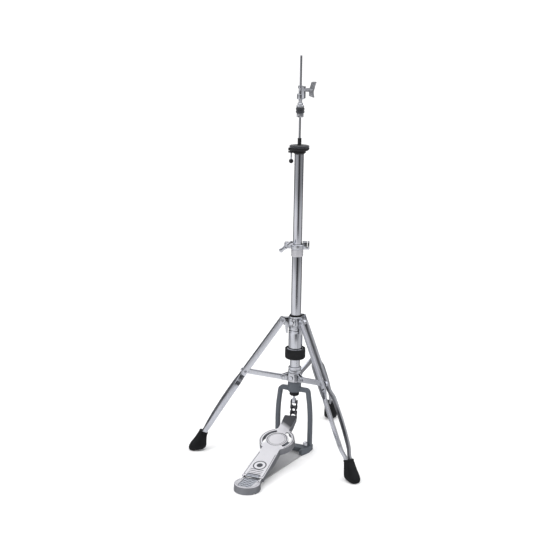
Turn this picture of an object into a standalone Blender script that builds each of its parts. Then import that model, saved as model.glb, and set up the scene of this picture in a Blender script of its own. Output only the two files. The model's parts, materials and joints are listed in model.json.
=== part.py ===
"""Pedal-operated cymbal stand (hi-hat stand) built as separate solid pieces.

Frame: origin on the floor under the column axis, +Z up along the column, heel
plate towards -Y, right-hand side at +X. Lengths are in millimetres and angles
in degrees; add() scales each finished piece to metres. The outlines of turned
pieces are (radius, z) pairs.
"""
import math

import bpy
import bmesh
from mathutils import Matrix, Vector

for old in list(bpy.data.objects):
    bpy.data.objects.remove(old, do_unlink=True)

MM = 0.001
GAP = 0.3                       # standard gap between neighbouring pieces
SEG = 20                        # segments round the column pieces

# ---- column ---------------------------------------------------------------
LOWER_R, LOWER_INNER_R = 14.3, 12.9
LOWER_Z = (177.2, 575.0)
LOWER_BORE = LOWER_R + GAP      # bore of the pieces around the lower tube
UPPER_R, UPPER_INNER_R = 12.6, 11.2
UPPER_Z = (430.0, 853.0)
UPPER_BORE = UPPER_R + GAP
ROD_R, ROD_TOP = 3.0, 1117.0
ROD_CLOSE_BORE = ROD_R + 0.35
ROD_LOOSE_BORE = ROD_R + 0.6
SLOT_HALF = 3.4                 # half width of the slots for the carrier bar
# ---- tension unit ---------------------------------------------------------
RING_R, RING_Z0, RING_Z1 = 29.0, 273.0, 303.0
HOUSING_R = 19.8
HOUSING_Z = (271.0, 356.0)
CARRIER_Z0, CARRIER_Z1 = 283.0, 291.0
SPRING_Z0, SPRING_Z1 = 291.5, 366.0
# ---- height clamp ---------------------------------------------------------
CLAMP_Z0 = 589.0
CLAMP_EAR_ANGLE = 200
CLAMP_BOLT = (30.0, 599.5)      # radius, height of the wing screw's centre
# ---- tripod; pivots are (radius, height) ----------------------------------
LEG_ANGLES = {"left": 207.5, "right": 327.5, "back": 87.5}
FRONT_ANGLE = 267.5             # between the left and the right leg
LEG_PIN = (38.0, 386.0)
BRACE_PIN = (33.0, 216.5)
RIVET = (141.5, 236.5)          # outer end of the brace
LEG_DEPTH, LEG_DEPTH_FOOT = 15.0, 12.6
LEG_HALF_TOP, LEG_HALF_BOW, LEG_HALF_FOOT = 11.0, 18.5, 10.0
FLANGE, SHEET = 5.8, 1.6        # flange height and sheet thickness of a strip
PIN_R = 2.5
PIN_HOLE_R = PIN_R + 0.25
LEG_SCREW_Z, BRACE_SCREW_Z = 382.0, 218.5
# ---- pedal ----------------------------------------------------------------
HINGE_Y, HINGE_Z = -292.0, 16.0
HINGE_PIN_R = 2.55
HINGE_HOLE_R = HINGE_PIN_R + 0.25
BOARD_TILT = 16.0
BOARD_LEN = 283.0
BOARD_TOP = 6.3
BEND_START = 226.0              # where the toe starts to curve up
TOE_RISE = 7.0
DISC_V, DISC_R = 177.9, 27.0    # place along the board and radius of the disc
ROUND_R = 49.3                  # round part of the board, about the disc
INLAY_V, INLAY_R = 57.5, 17.5   # round groove near the heel end
GROOVE_DEPTH = 0.8
HEEL_Y, HEEL_R, HEEL_H = -319.0, 35.0, 20.0
SPUR_X, SPUR_Y = 43.0, -15.0
# ---- chain: three equal links; points are (y, z) --------------------------
CHAIN_TOP_Z = 141.0
CHAIN_END = (-4.5, 93.5)
CHAIN_POINTS = [(CHAIN_END[0] * k / 3.0, CHAIN_TOP_Z + (CHAIN_END[1] - CHAIN_TOP_Z) * k / 3.0)
                for k in range(4)]
# ---- cymbal seat and clutch -----------------------------------------------
TILT_X, TILT_Z = -23.5, 861.3
TILT_KNOB_Z = 832.5
SEAT_BORE = 7.6
CLUTCH_SCREW_Z = 1026.5
CLUTCH_BORE = 5.1               # bore of the felts and nuts on the clutch tube


# ---------------------------------------------------------------------------
# materials
# ---------------------------------------------------------------------------
MATERIALS = {                   # base colour, roughness, metallic
    "chrome": ((0.80, 0.81, 0.83), 0.12, 1.0),
    "satin_silver": ((0.72, 0.73, 0.76), 0.34, 0.9),
    "grey_paint": ((0.16, 0.18, 0.20), 0.42, 0.2),
    "black_plastic": ((0.02, 0.02, 0.022), 0.45, 0.0),
    "black_steel": ((0.03, 0.03, 0.032), 0.35, 0.7),
    "rubber": ((0.018, 0.018, 0.02), 0.7, 0.0),
    "felt_grey": ((0.09, 0.09, 0.10), 0.95, 0.0),
    "felt_black": ((0.025, 0.025, 0.028), 0.95, 0.0),
    "plate_steel": ((0.46, 0.46, 0.47), 0.4, 0.9),
    "steel": ((0.55, 0.56, 0.58), 0.3, 1.0),
}


def material(kind, piece):
    """Own material for one piece."""
    colour, roughness, metallic = MATERIALS[kind]
    mat = bpy.data.materials.new(piece + "_mat")
    mat.use_nodes = True
    shader = mat.node_tree.nodes["Principled BSDF"]
    shader.inputs["Base Color"].default_value = (*colour, 1.0)
    shader.inputs["Roughness"].default_value = roughness
    shader.inputs["Metallic"].default_value = metallic
    mat.diffuse_color = (*colour, 1.0)
    return mat


# ---------------------------------------------------------------------------
# outlines and frames
# ---------------------------------------------------------------------------
def rad(degrees):
    return math.radians(degrees)


def arc(cx, cy, radius, start, end, steps):
    angles = [rad(start + (end - start) * i / steps) for i in range(steps + 1)]
    return [(cx + radius * math.cos(a), cy + radius * math.sin(a)) for a in angles]


def rounded_rect(half_w, half_h, radius, steps):
    """Anticlockwise rounded rectangle."""
    w, h = half_w - radius, half_h - radius
    corners = ((w, h, 0), (-w, h, 90), (-w, -h, 180), (w, -h, 270))
    points = []
    for cx, cy, start in corners:
        points += arc(cx, cy, radius, start, start + 90, steps)
    return points


def superellipse(a, b, count, exponent):
    points = []
    for i in range(count):
        t = 2 * math.pi * i / count
        c, s = math.cos(t), math.sin(t)
        points.append((a * math.copysign(abs(c) ** (2 / exponent), c),
                       b * math.copysign(abs(s) ** (2 / exponent), s)))
    return points


def polar(angle, radius, z):
    return (radius * math.cos(rad(angle)), radius * math.sin(rad(angle)), z)


def frame(origin, x_axis, y_axis, z_axis):
    m = Matrix.Identity(4)
    for i in range(3):
        m[i][0], m[i][1], m[i][2], m[i][3] = x_axis[i], y_axis[i], z_axis[i], origin[i]
    return m


def radial_frame(angle):
    """Local x = radius, y = height, z = tangent, clockwise seen from above."""
    c, s = math.cos(rad(angle)), math.sin(rad(angle))
    return frame((0, 0, 0), (c, s, 0), (0, 0, 1), (s, -c, 0))


def outward_frame(angle, origin):
    """Local x = tangent, y = height, z = outward at the angle."""
    c, s = math.cos(rad(angle)), math.sin(rad(angle))
    return frame(origin, (-s, c, 0), (0, 0, 1), (c, s, 0))


def front_frame(height=0.0):
    return outward_frame(FRONT_ANGLE, (0, 0, height))


def cross_frame(x=0.0, y=0.0, z=0.0):
    """Local x, y, z lie along world Y, Z, X."""
    return frame((x, y, z), (0, 1, 0), (0, 0, 1), (1, 0, 0))


# ---------------------------------------------------------------------------
# solids
# ---------------------------------------------------------------------------
def knurl(depth, rings, step, phase=0):
    """Radius rule for lathe(): notches every step-th segment of the given rings."""
    def radius_at(ring, i, r):
        return r - (depth if ring in rings and i % step == phase else 0.0)
    return radius_at


def lathe(profile, seg=SEG, radius_at=None):
    """Solid of revolution about Z of a closed outline; radius 0 is allowed."""
    bm = bmesh.new()
    rings = []
    for k, (r, z) in enumerate(profile):
        if r <= 1e-6:
            rings.append([bm.verts.new((0, 0, z))])
            continue
        ring = []
        for i in range(seg):
            a = 2 * math.pi * i / seg
            radius = radius_at(k, i, r) if radius_at else r
            ring.append(bm.verts.new((radius * math.cos(a), radius * math.sin(a), z)))
        rings.append(ring)
    for k, a in enumerate(rings):
        b = rings[(k + 1) % len(rings)]
        if len(a) == 1 and len(b) == 1:
            continue
        for i in range(seg):
            j = (i + 1) % seg
            if len(a) == 1:
                bm.faces.new((a[0], b[i], b[j]))
            elif len(b) == 1:
                bm.faces.new((a[i], b[0], a[j]))
            else:
                bm.faces.new((a[i], b[i], b[j], a[j]))
    bmesh.ops.recalc_face_normals(bm, faces=bm.faces[:])
    return bm


def rim(r, z0, z1, chamfer):
    """Outer corners of a tube or disc."""
    if chamfer:
        return [(r - chamfer, z0), (r, z0 + chamfer), (r, z1 - chamfer), (r - chamfer, z1)]
    return [(r, z0), (r, z1)]


def tube(outer, inner, z0, z1, seg=SEG, chamfer=0.0):
    return lathe([(inner, z0), *rim(outer, z0, z1, chamfer), (inner, z1)], seg)


def disc(r, z0, z1, seg=SEG, chamfer=0.0):
    return tube(r, 0, z0, z1, seg, chamfer)


def prism(outline, z0, z1, chamfer=0.0, both_ends=False):
    """Extruded anticlockwise outline, chamfered at z1 or at both ends."""
    bm = bmesh.new()
    face = bm.faces.new([bm.verts.new((x, y, z0)) for x, y in outline])
    extruded = bmesh.ops.extrude_face_region(bm, geom=[face])["geom"]
    top = [g for g in extruded if isinstance(g, bmesh.types.BMVert)]
    bmesh.ops.translate(bm, vec=(0, 0, z1 - z0), verts=top)
    bmesh.ops.recalc_face_normals(bm, faces=bm.faces[:])
    if chamfer:
        levels = (z1, z0) if both_ends else (z1,)
        edges = [e for e in bm.edges
                 if any(all(abs(v.co.z - z) < 1e-6 for v in e.verts) for z in levels)]
        bmesh.ops.bevel(bm, geom=edges, offset=chamfer, segments=1, affect="EDGES",
                        profile=0.5, clamp_overlap=True)
    return bm


def box(x0, x1, y0, y1, z0, z1, chamfer=0.0):
    bm = prism([(x0, y0), (x1, y0), (x1, y1), (x0, y1)], z0, z1)
    if chamfer:
        bmesh.ops.bevel(bm, geom=bm.edges[:], offset=chamfer, segments=1, affect="EDGES",
                        profile=0.5)
    return bm


def loft(rows):
    """Solid through rows of points, closed by a face at each end."""
    bm = bmesh.new()
    rings = [[bm.verts.new(p) for p in row] for row in rows]
    count = len(rings[0])
    for a, b in zip(rings, rings[1:]):
        for k in range(count):
            j = (k + 1) % count
            bm.faces.new((a[k], a[j], b[j], b[k]))
    bm.faces.new(rings[0][::-1])
    bm.faces.new(rings[-1])
    bmesh.ops.recalc_face_normals(bm, faces=bm.faces[:])
    return bm


def tangent_at(points, i):
    after, before = points[min(i + 1, len(points) - 1)], points[max(i - 1, 0)]
    return (Vector(after) - Vector(before)).normalized()


def sweep(path, up, section):
    """Solid along a path; section(i) gives the outline (along up, sideways) at point i."""
    rows = []
    for i, point in enumerate(path):
        tangent = tangent_at(path, i)
        local_up = Vector(up)
        local_up = (local_up - tangent * local_up.dot(tangent)).normalized()
        side = tangent.cross(local_up)
        rows.append([Vector(point) + local_up * a + side * b for a, b in section(i)])
    return loft(rows)


def place(bm, matrix):
    bmesh.ops.transform(bm, matrix=matrix, verts=bm.verts[:])
    if matrix.determinant() < 0:
        bmesh.ops.reverse_faces(bm, faces=bm.faces[:])
    return bm


def shift(bm, x=0.0, y=0.0, z=0.0):
    return place(bm, Matrix.Translation((x, y, z)))


def turn(bm, angle):
    return place(bm, Matrix.Rotation(rad(angle), 4, "Z"))


def at_pivot(bm, angle, pivot):
    """Put local z across the leg plane at a (radius, height) pivot."""
    return place(bm, radial_frame(angle) @ Matrix.Translation((*pivot, 0)))


def to_mesh(bm, name):
    mesh = bpy.data.meshes.new(name)
    bm.to_mesh(mesh)
    bm.free()
    return mesh


def combine(base, others, operation):
    """Apply exact booleans one by one; returns a new bmesh."""
    link = bpy.context.scene.collection.objects.link
    work = bpy.data.objects.new("work", to_mesh(base, "work"))
    link(work)
    for other in others:
        cutter = bpy.data.objects.new("cutter", to_mesh(other, "cutter"))
        cutter.hide_render = True
        link(cutter)
        modifier = work.modifiers.new("b", "BOOLEAN")
        modifier.operation = operation
        modifier.solver = "EXACT"
        modifier.object = cutter
        depsgraph = bpy.context.evaluated_depsgraph_get()
        depsgraph.update()
        result = bpy.data.meshes.new_from_object(work.evaluated_get(depsgraph))
        work.modifiers.clear()
        work.data = result
        bpy.data.objects.remove(cutter, do_unlink=True)
    bm = bmesh.new()
    bm.from_mesh(work.data)
    bpy.data.objects.remove(work, do_unlink=True)
    bmesh.ops.remove_doubles(bm, verts=bm.verts[:], dist=0.0005)
    bmesh.ops.dissolve_degenerate(bm, dist=0.0005, edges=bm.edges[:])
    return bm


def union(base, *others):
    return combine(base, others, "UNION")


def cut(base, *others):
    return combine(base, others, "DIFFERENCE")


def add(name, bm, kind, origin=(0, 0, 0), sharp=40):
    """Named object with its origin at a point in mm; sharp=None leaves it flat-shaded."""
    bmesh.ops.triangulate(bm, faces=[f for f in bm.faces if len(f.verts) > 4])
    bmesh.ops.recalc_face_normals(bm, faces=bm.faces[:])
    bmesh.ops.translate(bm, vec=[-c for c in origin], verts=bm.verts[:])
    bmesh.ops.scale(bm, vec=(MM, MM, MM), verts=bm.verts[:])
    mesh = to_mesh(bm, name)
    ob = bpy.data.objects.new(name, mesh)
    bpy.context.scene.collection.objects.link(ob)
    ob.location = [c * MM for c in origin]
    mesh.materials.append(material(kind, name))
    if sharp is not None:
        mesh.shade_smooth()
        mesh.set_sharp_from_angle(angle=rad(sharp))


# ---------------------------------------------------------------------------
# column and tension unit
# ---------------------------------------------------------------------------
def build_lower_tube():
    slot = box(-20, 20, -SLOT_HALF, SLOT_HALF, 276, 298)
    add("lower_tube", cut(tube(LOWER_R, LOWER_INNER_R, *LOWER_Z), slot), "chrome")


def build_upper_tube():
    add("upper_tube", tube(UPPER_R, UPPER_INNER_R, *UPPER_Z), "chrome")


def build_spring_housing():
    shell = tube(HOUSING_R, LOWER_BORE, *HOUSING_Z, chamfer=1.2)
    flange = tube(23.0, HOUSING_R - 1.0, 300.4, 301.8)
    slot = box(-25, 25, -SLOT_HALF, SLOT_HALF, 274, 337)
    add("spring_housing", cut(union(shell, flange), slot), "chrome")


def build_return_spring():
    turns, steps_per_turn = 8, 9
    wire_r, coil_r = 0.9, 9.1
    count = turns * steps_per_turn
    z0, z1 = SPRING_Z0 + wire_r, SPRING_Z1 - wire_r
    path = []
    for i in range(count + 1):
        a = 2 * math.pi * i / steps_per_turn
        path.append((coil_r * math.cos(a), coil_r * math.sin(a), z0 + (z1 - z0) * i / count))
    wire = arc(0, 0, wire_r, 0, 270, 3)
    add("return_spring", sweep(path, (0, 0, 1), lambda i: wire), "steel")


def build_tube_collar():
    """Collar over the top of the lower tube, stepped in to the upper tube."""
    top, step = CLAMP_Z0 - GAP, 575.4
    profile = [(LOWER_BORE, 569), (16.2, 569), (16.9, 573), (16.9, top), (UPPER_BORE, top),
               (UPPER_BORE, step), (LOWER_BORE, step)]
    add("tube_collar", lathe(profile), "satin_silver")


def clamp_frame():
    """Local z along the wing screw through the split ear."""
    return outward_frame(CLAMP_EAR_ANGLE + 90, polar(CLAMP_EAR_ANGLE, *CLAMP_BOLT))


def build_height_clamp():
    ring = tube(18.0, UPPER_BORE, CLAMP_Z0, 603, chamfer=1.0)
    block = turn(box(15.5, 33.5, -7.5, 7.5, CLAMP_Z0, 611, 1.5), 22)
    ear = turn(box(15.5, 36, -8, 8, 591, 608, 2.0), CLAMP_EAR_ANGLE)
    slit = turn(box(10, 40, -1.0, 1.0, 585, 612), CLAMP_EAR_ANGLE)
    screw_hole = place(disc(3.2, -12, 12, 16), clamp_frame())
    body = union(ring, block, ear)
    add("height_clamp", cut(body, slit, screw_hole, disc(UPPER_BORE, 580, 620)), "chrome")


def build_height_wing_screw():
    length, half_width, thickness, wing_z = 47, 6.0, 4.2, 18.6
    outline = []
    for side in (1, -1):
        end = arc(length / 2 - half_width, 0, half_width, -90, 90, 6)
        outline += [(side * x, side * y) for x, y in end]
    wing = prism(outline, wing_z, wing_z + thickness, 0.8, True)
    boss = disc(6.2, 8.4, 24.4, 16, 0.6)
    shank = disc(2.9, -11, wing_z + 1.0, 16)
    matrix = clamp_frame() @ Matrix.Rotation(rad(38), 4, "Z")
    screw = place(union(wing, boss, shank), matrix)
    add("height_wing_screw", screw, "chrome", tuple(matrix.translation))


def build_tension_ring():
    lip_r, pocket_r, top_pocket_r = HOUSING_R + 0.5, 25.2, 25.8
    profile = [
        (lip_r, RING_Z0), (26.5, RING_Z0), (RING_R, RING_Z0 + 3.5), (RING_R, RING_Z1 - 1.6),
        (RING_R - 1.4, RING_Z1), (top_pocket_r, RING_Z1), (top_pocket_r, 300), (lip_r, 300),
        (lip_r, 295.4), (pocket_r, 295.4), (pocket_r, 278.8), (lip_r, 278.8)]
    ring = lathe(profile, 30, knurl(0.8, (2, 3), 2, 1))
    add("tension_ring", ring, "black_plastic", sharp=60)


def build_spring_carrier():
    """Washer under the spring with a bar through the tube and housing slots."""
    bore = 4.0
    washer = tube(12.4, bore, CARRIER_Z0, CARRIER_Z1)
    bar = box(-24.6, 24.6, -3.0, 3.0, CARRIER_Z0 + 0.8, CARRIER_Z1 - 0.8)
    add("spring_carrier", cut(union(washer, bar), disc(bore, 270, 300)), "black_steel")


# ---------------------------------------------------------------------------
# tripod
# ---------------------------------------------------------------------------
def leg_path():
    """Leg centre line from the pivot to the foot: radius, height, half width, depth."""
    pin, rivet = LEG_PIN, RIVET
    dr, dz = rivet[0] - pin[0], rivet[1] - pin[1]
    length = math.hypot(dr, dz)
    overrun = 8                 # beyond the pivot
    top, bow, foot = LEG_HALF_TOP, LEG_HALF_BOW, LEG_HALF_FOOT
    deep, shallow = LEG_DEPTH, LEG_DEPTH_FOOT
    return [
        (pin[0] - dr / length * overrun, pin[1] - dz / length * overrun, top, deep),
        (*pin, top, deep),
        (*rivet, top, deep),
        (150.0, 223.6, top, deep),
        (155.5, 215.2, top + 1.8, deep),
        (162.5, 204.8, bow - 1.4, deep),
        (168.5, 196.0, bow, deep),
        (186.0, 169.8, bow + 0.5, deep - 0.1),
        (207.0, 137.2, bow + 0.4, deep - 0.4),
        (228.0, 103.0, bow - 0.8, deep - 1.1),
        (241.0, 81.0, bow - 2.6, deep - 1.7),
        (246.5, 71.5, bow - 5.0, deep - 2.0),
        (252.0, 62.0, foot + 0.3, shallow),
        (256.5, 54.0, foot, shallow),
        (262.5, 43.0, foot, shallow),
    ]


def channel_section(depth):
    """Channel outline: across the leg's depth, inward from the web's outer face."""
    d, web = depth / 2, SHEET
    return [(-d, 0), (d, 0), (d, FLANGE), (d - web, FLANGE), (d - web, web), (-d + web, web),
            (-d + web, FLANGE), (-d, FLANGE)]


def leg_strip(angle, side):
    """One of the two channel strips of a leg, with the web outside."""
    path = leg_path()
    centre_line = [station[:2] for station in path]
    rows = []
    for i, (r, z, half_width, depth) in enumerate(path):
        tangent = tangent_at(centre_line, i)
        normal = Vector((-tangent.y, tangent.x))
        rows.append([(r + normal.x * p, z + normal.y * p, side * (half_width - q))
                     for p, q in channel_section(depth)])
    pin_hole = shift(disc(3.0, -20, 20, 12), *LEG_PIN)
    rivet_hole = shift(disc(2.9, -20, 20, 12), *RIVET)
    return place(cut(loft(rows), pin_hole, rivet_hole), radial_frame(angle))


# height, centre radius, half length (radial), half width, tilt of the section, exponent
FOOT_SECTIONS = (
    (3.3, 276.0, 22.0, 15.4, -8, 2.6),
    (6.4, 276.3, 25.0, 17.4, -8, 2.6),
    (12.5, 275.8, 25.8, 18.0, -6, 2.6),
    (21.0, 272.8, 23.0, 17.0, 0, 2.8),
    (31.0, 267.8, 18.4, 15.4, 8, 3.0),
    (44.0, 262.8, 14.4, 13.6, 16, 3.4),
    (56.0, 257.8, 13.0, 12.8, 20, 3.6),
)


def leg_foot(angle):
    rows = []
    for z, r, half_length, half_width, tilt, exponent in FOOT_SECTIONS:
        c, s = math.cos(rad(tilt)), math.sin(rad(tilt))
        rows.append([(r + x * c, z + x * s, y)
                     for x, y in superellipse(half_length, half_width, 16, exponent)])
    # socket that takes the two strip ends
    before, last = [Vector((*station[:2], 0)) for station in leg_path()[-2:]]
    down = (last - before).normalized()
    end = last + down * 0.6
    socket_frame = frame(end, (-down.y, down.x, 0), (0, 0, 1), -down)
    socket = place(box(-6.8, 6.8, -10.7, 10.7, 0, 40), socket_frame)
    return place(cut(loft(rows), socket), radial_frame(angle))


def headed_pin(head_r, half, head_depth, edge_depth, seg):
    """Pin with a head at each end; half is half the length between the heads."""
    lower = [(0, -half - head_depth), (head_r - 0.6, -half - head_depth),
             (head_r, -half - edge_depth), (head_r, -half), (PIN_R, -half)]
    return lathe(lower + [(r, -z) for r, z in reversed(lower)], seg)


def leg_pin(angle, pivot, head_r):
    return at_pivot(headed_pin(head_r, LEG_HALF_TOP + 0.25, 1.6, 0.9, 10), angle, pivot)


def brace(angle):
    inner, outer = Vector(BRACE_PIN), Vector(RIVET)
    along = outer - inner
    length = along.length
    along.normalize()
    half = 7.7
    outline = arc(length + 5.5, 0, half, -70, 70, 6) + arc(0, 0, half, 90, 270, 8)
    # slot that lets the outer end drift while the linkage folds
    slot_r = PIN_R + 1.18 + 0.35
    slot = arc(length + 2.5, 0, slot_r, -90, 90, 6) + arc(length - 7.0, 0, slot_r, 90, 270, 6)
    bar = cut(prism(outline, -2.6, 2.6, 0.5, True), disc(PIN_HOLE_R, -5, 5, 16),
              prism(slot, -5, 5))
    matrix = frame((*inner, 0), (*along, 0), (-along.y, along.x, 0), (0, 0, 1))
    return place(bar, radial_frame(angle) @ matrix)


def add_hex_screw(name, height, tip, seat, head_r, shoulder):
    """Hexagonal screw on the front; tip, seat and shoulder are distances from the axis."""
    shank_r, end = 2.6, shoulder + 0.6
    profile = [(0, tip), (shank_r, tip), (shank_r, seat), (head_r, seat),
               (head_r, shoulder), (head_r - 0.8, end), (0, end)]
    add(name, place(lathe(profile, 6), front_frame(height)), "chrome",
        polar(FRONT_ANGLE, seat, height), sharp=None)


def build_leg_hub():
    """Split collar with three tongues that carry the legs."""
    collar = lathe([
        (LOWER_BORE, 357), (19.0, 357), (19.6, 358), (19.6, 363), (18.4, 364.5), (18.4, 368),
        (20.4, 370), (20.4, 394), (19.4, 396.7), (LOWER_BORE, 396.7)])
    # tongue outline: radius, height
    tongue = [(16, 364), (22, 364), (22.4, 347.5), (27.6, 347.5), (29.5, 368),
              *arc(*LEG_PIN, 8.4, -60, 100, 7), (26, 393.6), (16, 394.0)]
    angles = LEG_ANGLES.values()
    tongues = [place(prism(tongue, -4.3, 4.3), radial_frame(a)) for a in angles]
    boss = place(box(-9, 9, 373, 391, 0, 24.5, 1.5), front_frame())
    bore = disc(LOWER_BORE, 340, 404)
    pin_holes = [at_pivot(disc(PIN_HOLE_R, -8, 8, 12), a, LEG_PIN) for a in angles]
    slit = place(box(-0.9, 0.9, 364, 402, 10, 30), front_frame())
    screw_hole = place(disc(2.9, 16, 30, 16), front_frame(LEG_SCREW_Z))
    hub = cut(union(collar, *tongues, boss), bore, *pin_holes, slit, screw_hole)
    add("leg_hub", hub, "chrome")
    add("hub_gasket", tube(17.4, LOWER_BORE, 397.0, 401.2, chamfer=1.0), "rubber")
    add_hex_screw("leg_hub_screw", LEG_SCREW_Z, 17.5, 24.9, 5.2, 29.0)


def build_brace_hub():
    """Lower collar with three forked lugs and their pins."""
    collar = lathe([
        (LOWER_BORE, 203.6), (18.4, 203.6), (19.2, 204.6), (19.2, 236), (17.0, 237.5),
        (17.0, 239.5), (18.6, 240.8), (18.6, 246), (17.8, 247.2), (LOWER_BORE, 247.2)])
    lug = [(16, 206), *arc(*BRACE_PIN, 8.0, -80, 80, 7), (16, 231)]
    angles = LEG_ANGLES.values()
    lugs = [place(prism(lug, -6.2, 6.2), radial_frame(a)) for a in angles]
    forks = [place(box(19.6, 45, 198, 236, -2.95, 2.95), radial_frame(a)) for a in angles]
    plate = place(box(-10, 10, 206, 231, 12, 23.0, 1.2), front_frame())
    bore = disc(LOWER_BORE, 190, 250)
    screw_hole = place(disc(2.9, 17, 30, 16), front_frame(BRACE_SCREW_Z))
    hub = cut(union(collar, *lugs, plate), *forks, bore, screw_hole)
    pins = [at_pivot(headed_pin(4.0, 6.0, 2.2, 1.6, 12), a, BRACE_PIN) for a in angles]
    add("brace_hub", union(hub, *pins), "chrome")
    add_hex_screw("brace_hub_screw", BRACE_SCREW_Z, 18.5, 23.4, 5.0, 26.6)


def build_leg(name, angle):
    origin = polar(angle, *LEG_PIN)
    for tag, side in (("a", 1), ("b", -1)):
        add(f"leg_{name}_strip_{tag}", leg_strip(angle, side), "chrome", origin, sharp=30)
    add(f"leg_{name}_foot", leg_foot(angle), "rubber", origin, sharp=50)
    add(f"leg_{name}_rivet", leg_pin(angle, RIVET, 4.2), "steel", origin)
    add(f"leg_{name}_pin", leg_pin(angle, LEG_PIN, 4.6), "steel", origin)
    add(f"brace_{name}", brace(angle), "chrome", polar(angle, *BRACE_PIN), sharp=30)


# ---------------------------------------------------------------------------
# pedal frame and floor plate
# ---------------------------------------------------------------------------
# right arm, from the hub down to the floor: x, y, z
ARM_PATH = (
    (16, 0, 180.6), (26, 0, 181.0), (36.5, 0, 180.8), (40.8, 0, 178.6), (42.8, 0, 174.0),
    (44.4, 0.2, 162), (47.4, 0.4, 138), (49.6, 0.8, 106), (50.0, 1.2, 70), (49.8, 1.6, 36),
    (49.6, 2.0, 10),
)
# right floor block: x, y
FLOOR_BLOCK = ((36.5, -45.0), (45.4, -47.5), (55.8, -16.0), (55.8, 13.0), (42.0, 13.0),
               (36.5, -2.0))


def arm_section(i):
    """Slightly thicker at the first four stations."""
    return rounded_rect(7.2, 5.7 if i > 3 else 6.1, 1.8, 1)


def build_pedal_frame():
    """Hub, two arms, two floor blocks and the cross bar."""
    hub = lathe([(LOWER_BORE, 174), (17.4, 174), (19.3, 178.5), (19.3, 200.6), (18.4, 203.2),
                 (LOWER_BORE, 203.2)])
    parts = []
    for side in (1, -1):
        parts.append(sweep([(side * x, y, z) for x, y, z in ARM_PATH], (0, 1, 0), arm_section))
        block = [(side * x, y) for x, y in FLOOR_BLOCK]
        parts.append(prism(block[::side], 0, 16.5, 2.0))
    cross_bar = box(-44, 44, -27, -1, 3.3, 15.5, 1.2)
    spur_holes = [shift(disc(3.2, -5, 25, 12), side * SPUR_X, SPUR_Y) for side in (1, -1)]
    body = cut(union(hub, *parts, cross_bar), disc(LOWER_BORE, 160, 205), *spur_holes)
    add("pedal_frame", body, "grey_paint", sharp=35)


def build_frame_bush():
    profile = [(ROD_LOOSE_BORE, 161.8), (12.6, 161.8), (14.0, 163.8), (14.0, 173.4),
               (14.2, 173.4), (14.2, 176.8), (ROD_LOOSE_BORE, 176.8)]
    add("frame_bush", lathe(profile), "black_plastic")


def build_spur_screws():
    profile = [(0, 0.8), (0.8, 0.8), (2.9, 5.0), (2.9, 19.6), (5.2, 20.2), (6.0, 21.2),
               (6.0, 28.6), (5.2, 29.6), (0, 29.6)]
    for name, side in (("right", 1), ("left", -1)):
        at = (side * SPUR_X, SPUR_Y, 0)
        screw = shift(lathe(profile, 16, knurl(0.35, (5, 6), 2, 1)), *at)
        add(f"spur_screw_{name}", screw, "chrome", at, sharp=50)


def build_base_plate():
    """Floor plate: a strip widening from the heel to a broad end under the column."""
    def half_width(y):
        return 14.7 + (y + 266.0) * 0.1393

    strip_start, strip_end, end_half, end_y = -262.0, -49.0, 36.0, 8.0
    right = [(14.0, -338.0), (half_width(strip_start), strip_start),
             (half_width(strip_end), strip_end), (end_half, strip_end), (end_half, end_y)]
    left = [(-x, y) for x, y in reversed(right)]
    # the outline starts at the left heel corner
    outline = left[-1:] + right + left[:-1]
    add("base_plate", prism(outline, 0.0, 3.0, 0.4), "plate_steel", sharp=None)


# ---------------------------------------------------------------------------
# heel plate and footboard
# ---------------------------------------------------------------------------
def wave_groove(y, half_length, top):
    """Cutter for a wavy groove across the pedal."""
    width, amplitude, periods, steps = 1.2, 1.1, 2.5, 10
    lower, upper = [], []
    for i in range(steps + 1):
        x = -half_length + 2 * half_length * i / steps
        centre = y + amplitude * math.sin(2 * math.pi * periods * i / steps)
        lower.append((x, centre - width / 2))
        upper.append((x, centre + width / 2))
    return prism(lower + upper[::-1], top - GROOVE_DEPTH, top + 1)


def heel_outline(inset=0.0):
    x, y = 31.5 - inset, -301.5 - inset
    return [(-x, y), *arc(0, HEEL_Y, HEEL_R - inset, 176, 364, 22), (x, y)]


def hinge_cylinder(r, half, chamfer=0.0):
    """Cylinder on the heel hinge axis."""
    return place(disc(r, -half, half, 16, chamfer), cross_frame(y=HINGE_Y, z=HINGE_Z))


def build_heel_plate():
    knuckle_half = 19.5
    body = union(
        prism(heel_outline(), 0.0, HEEL_H, 1.4),
        box(-23.6, 23.6, -303.5, -288.6, 13.4, HEEL_H),
        hinge_cylinder(5.4, knuckle_half),
        box(-knuckle_half, knuckle_half, -300, HINGE_Y, HINGE_Z - 5.0, HINGE_Z + 1.5))
    cuts = [prism(heel_outline(4.0), -1.0, 12.0),           # hollow underside
            box(-30.0, 30.0, -340, -290, -1, 3.4),          # room for the base plate
            hinge_cylinder(HINGE_HOLE_R, 40),
            cut(prism(heel_outline(6.3), HEEL_H - GROOVE_DEPTH, HEEL_H + 2),
                prism(heel_outline(7.5), HEEL_H - 2, HEEL_H + 3))]  # border groove
    for k in range(-2, 5):
        half_length = 21.0 if k < 0 else 23.0 - 0.42 * k * k
        cuts.append(wave_groove(-311.5 - 7.0 * k, half_length, HEEL_H))
    add("heel_plate", cut(body, *cuts), "satin_silver", sharp=35)
    add("heel_hinge_pin", hinge_cylinder(HINGE_PIN_R, 27.6, 0.4), "steel")


# The board's own frame: x across, y from the hinge to the toe, z off its face.
HINGE = (0, HINGE_Y, HINGE_Z)
BOARD_FRAME = Matrix.Translation(HINGE) @ Matrix.Rotation(rad(BOARD_TILT), 4, "X")


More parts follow.
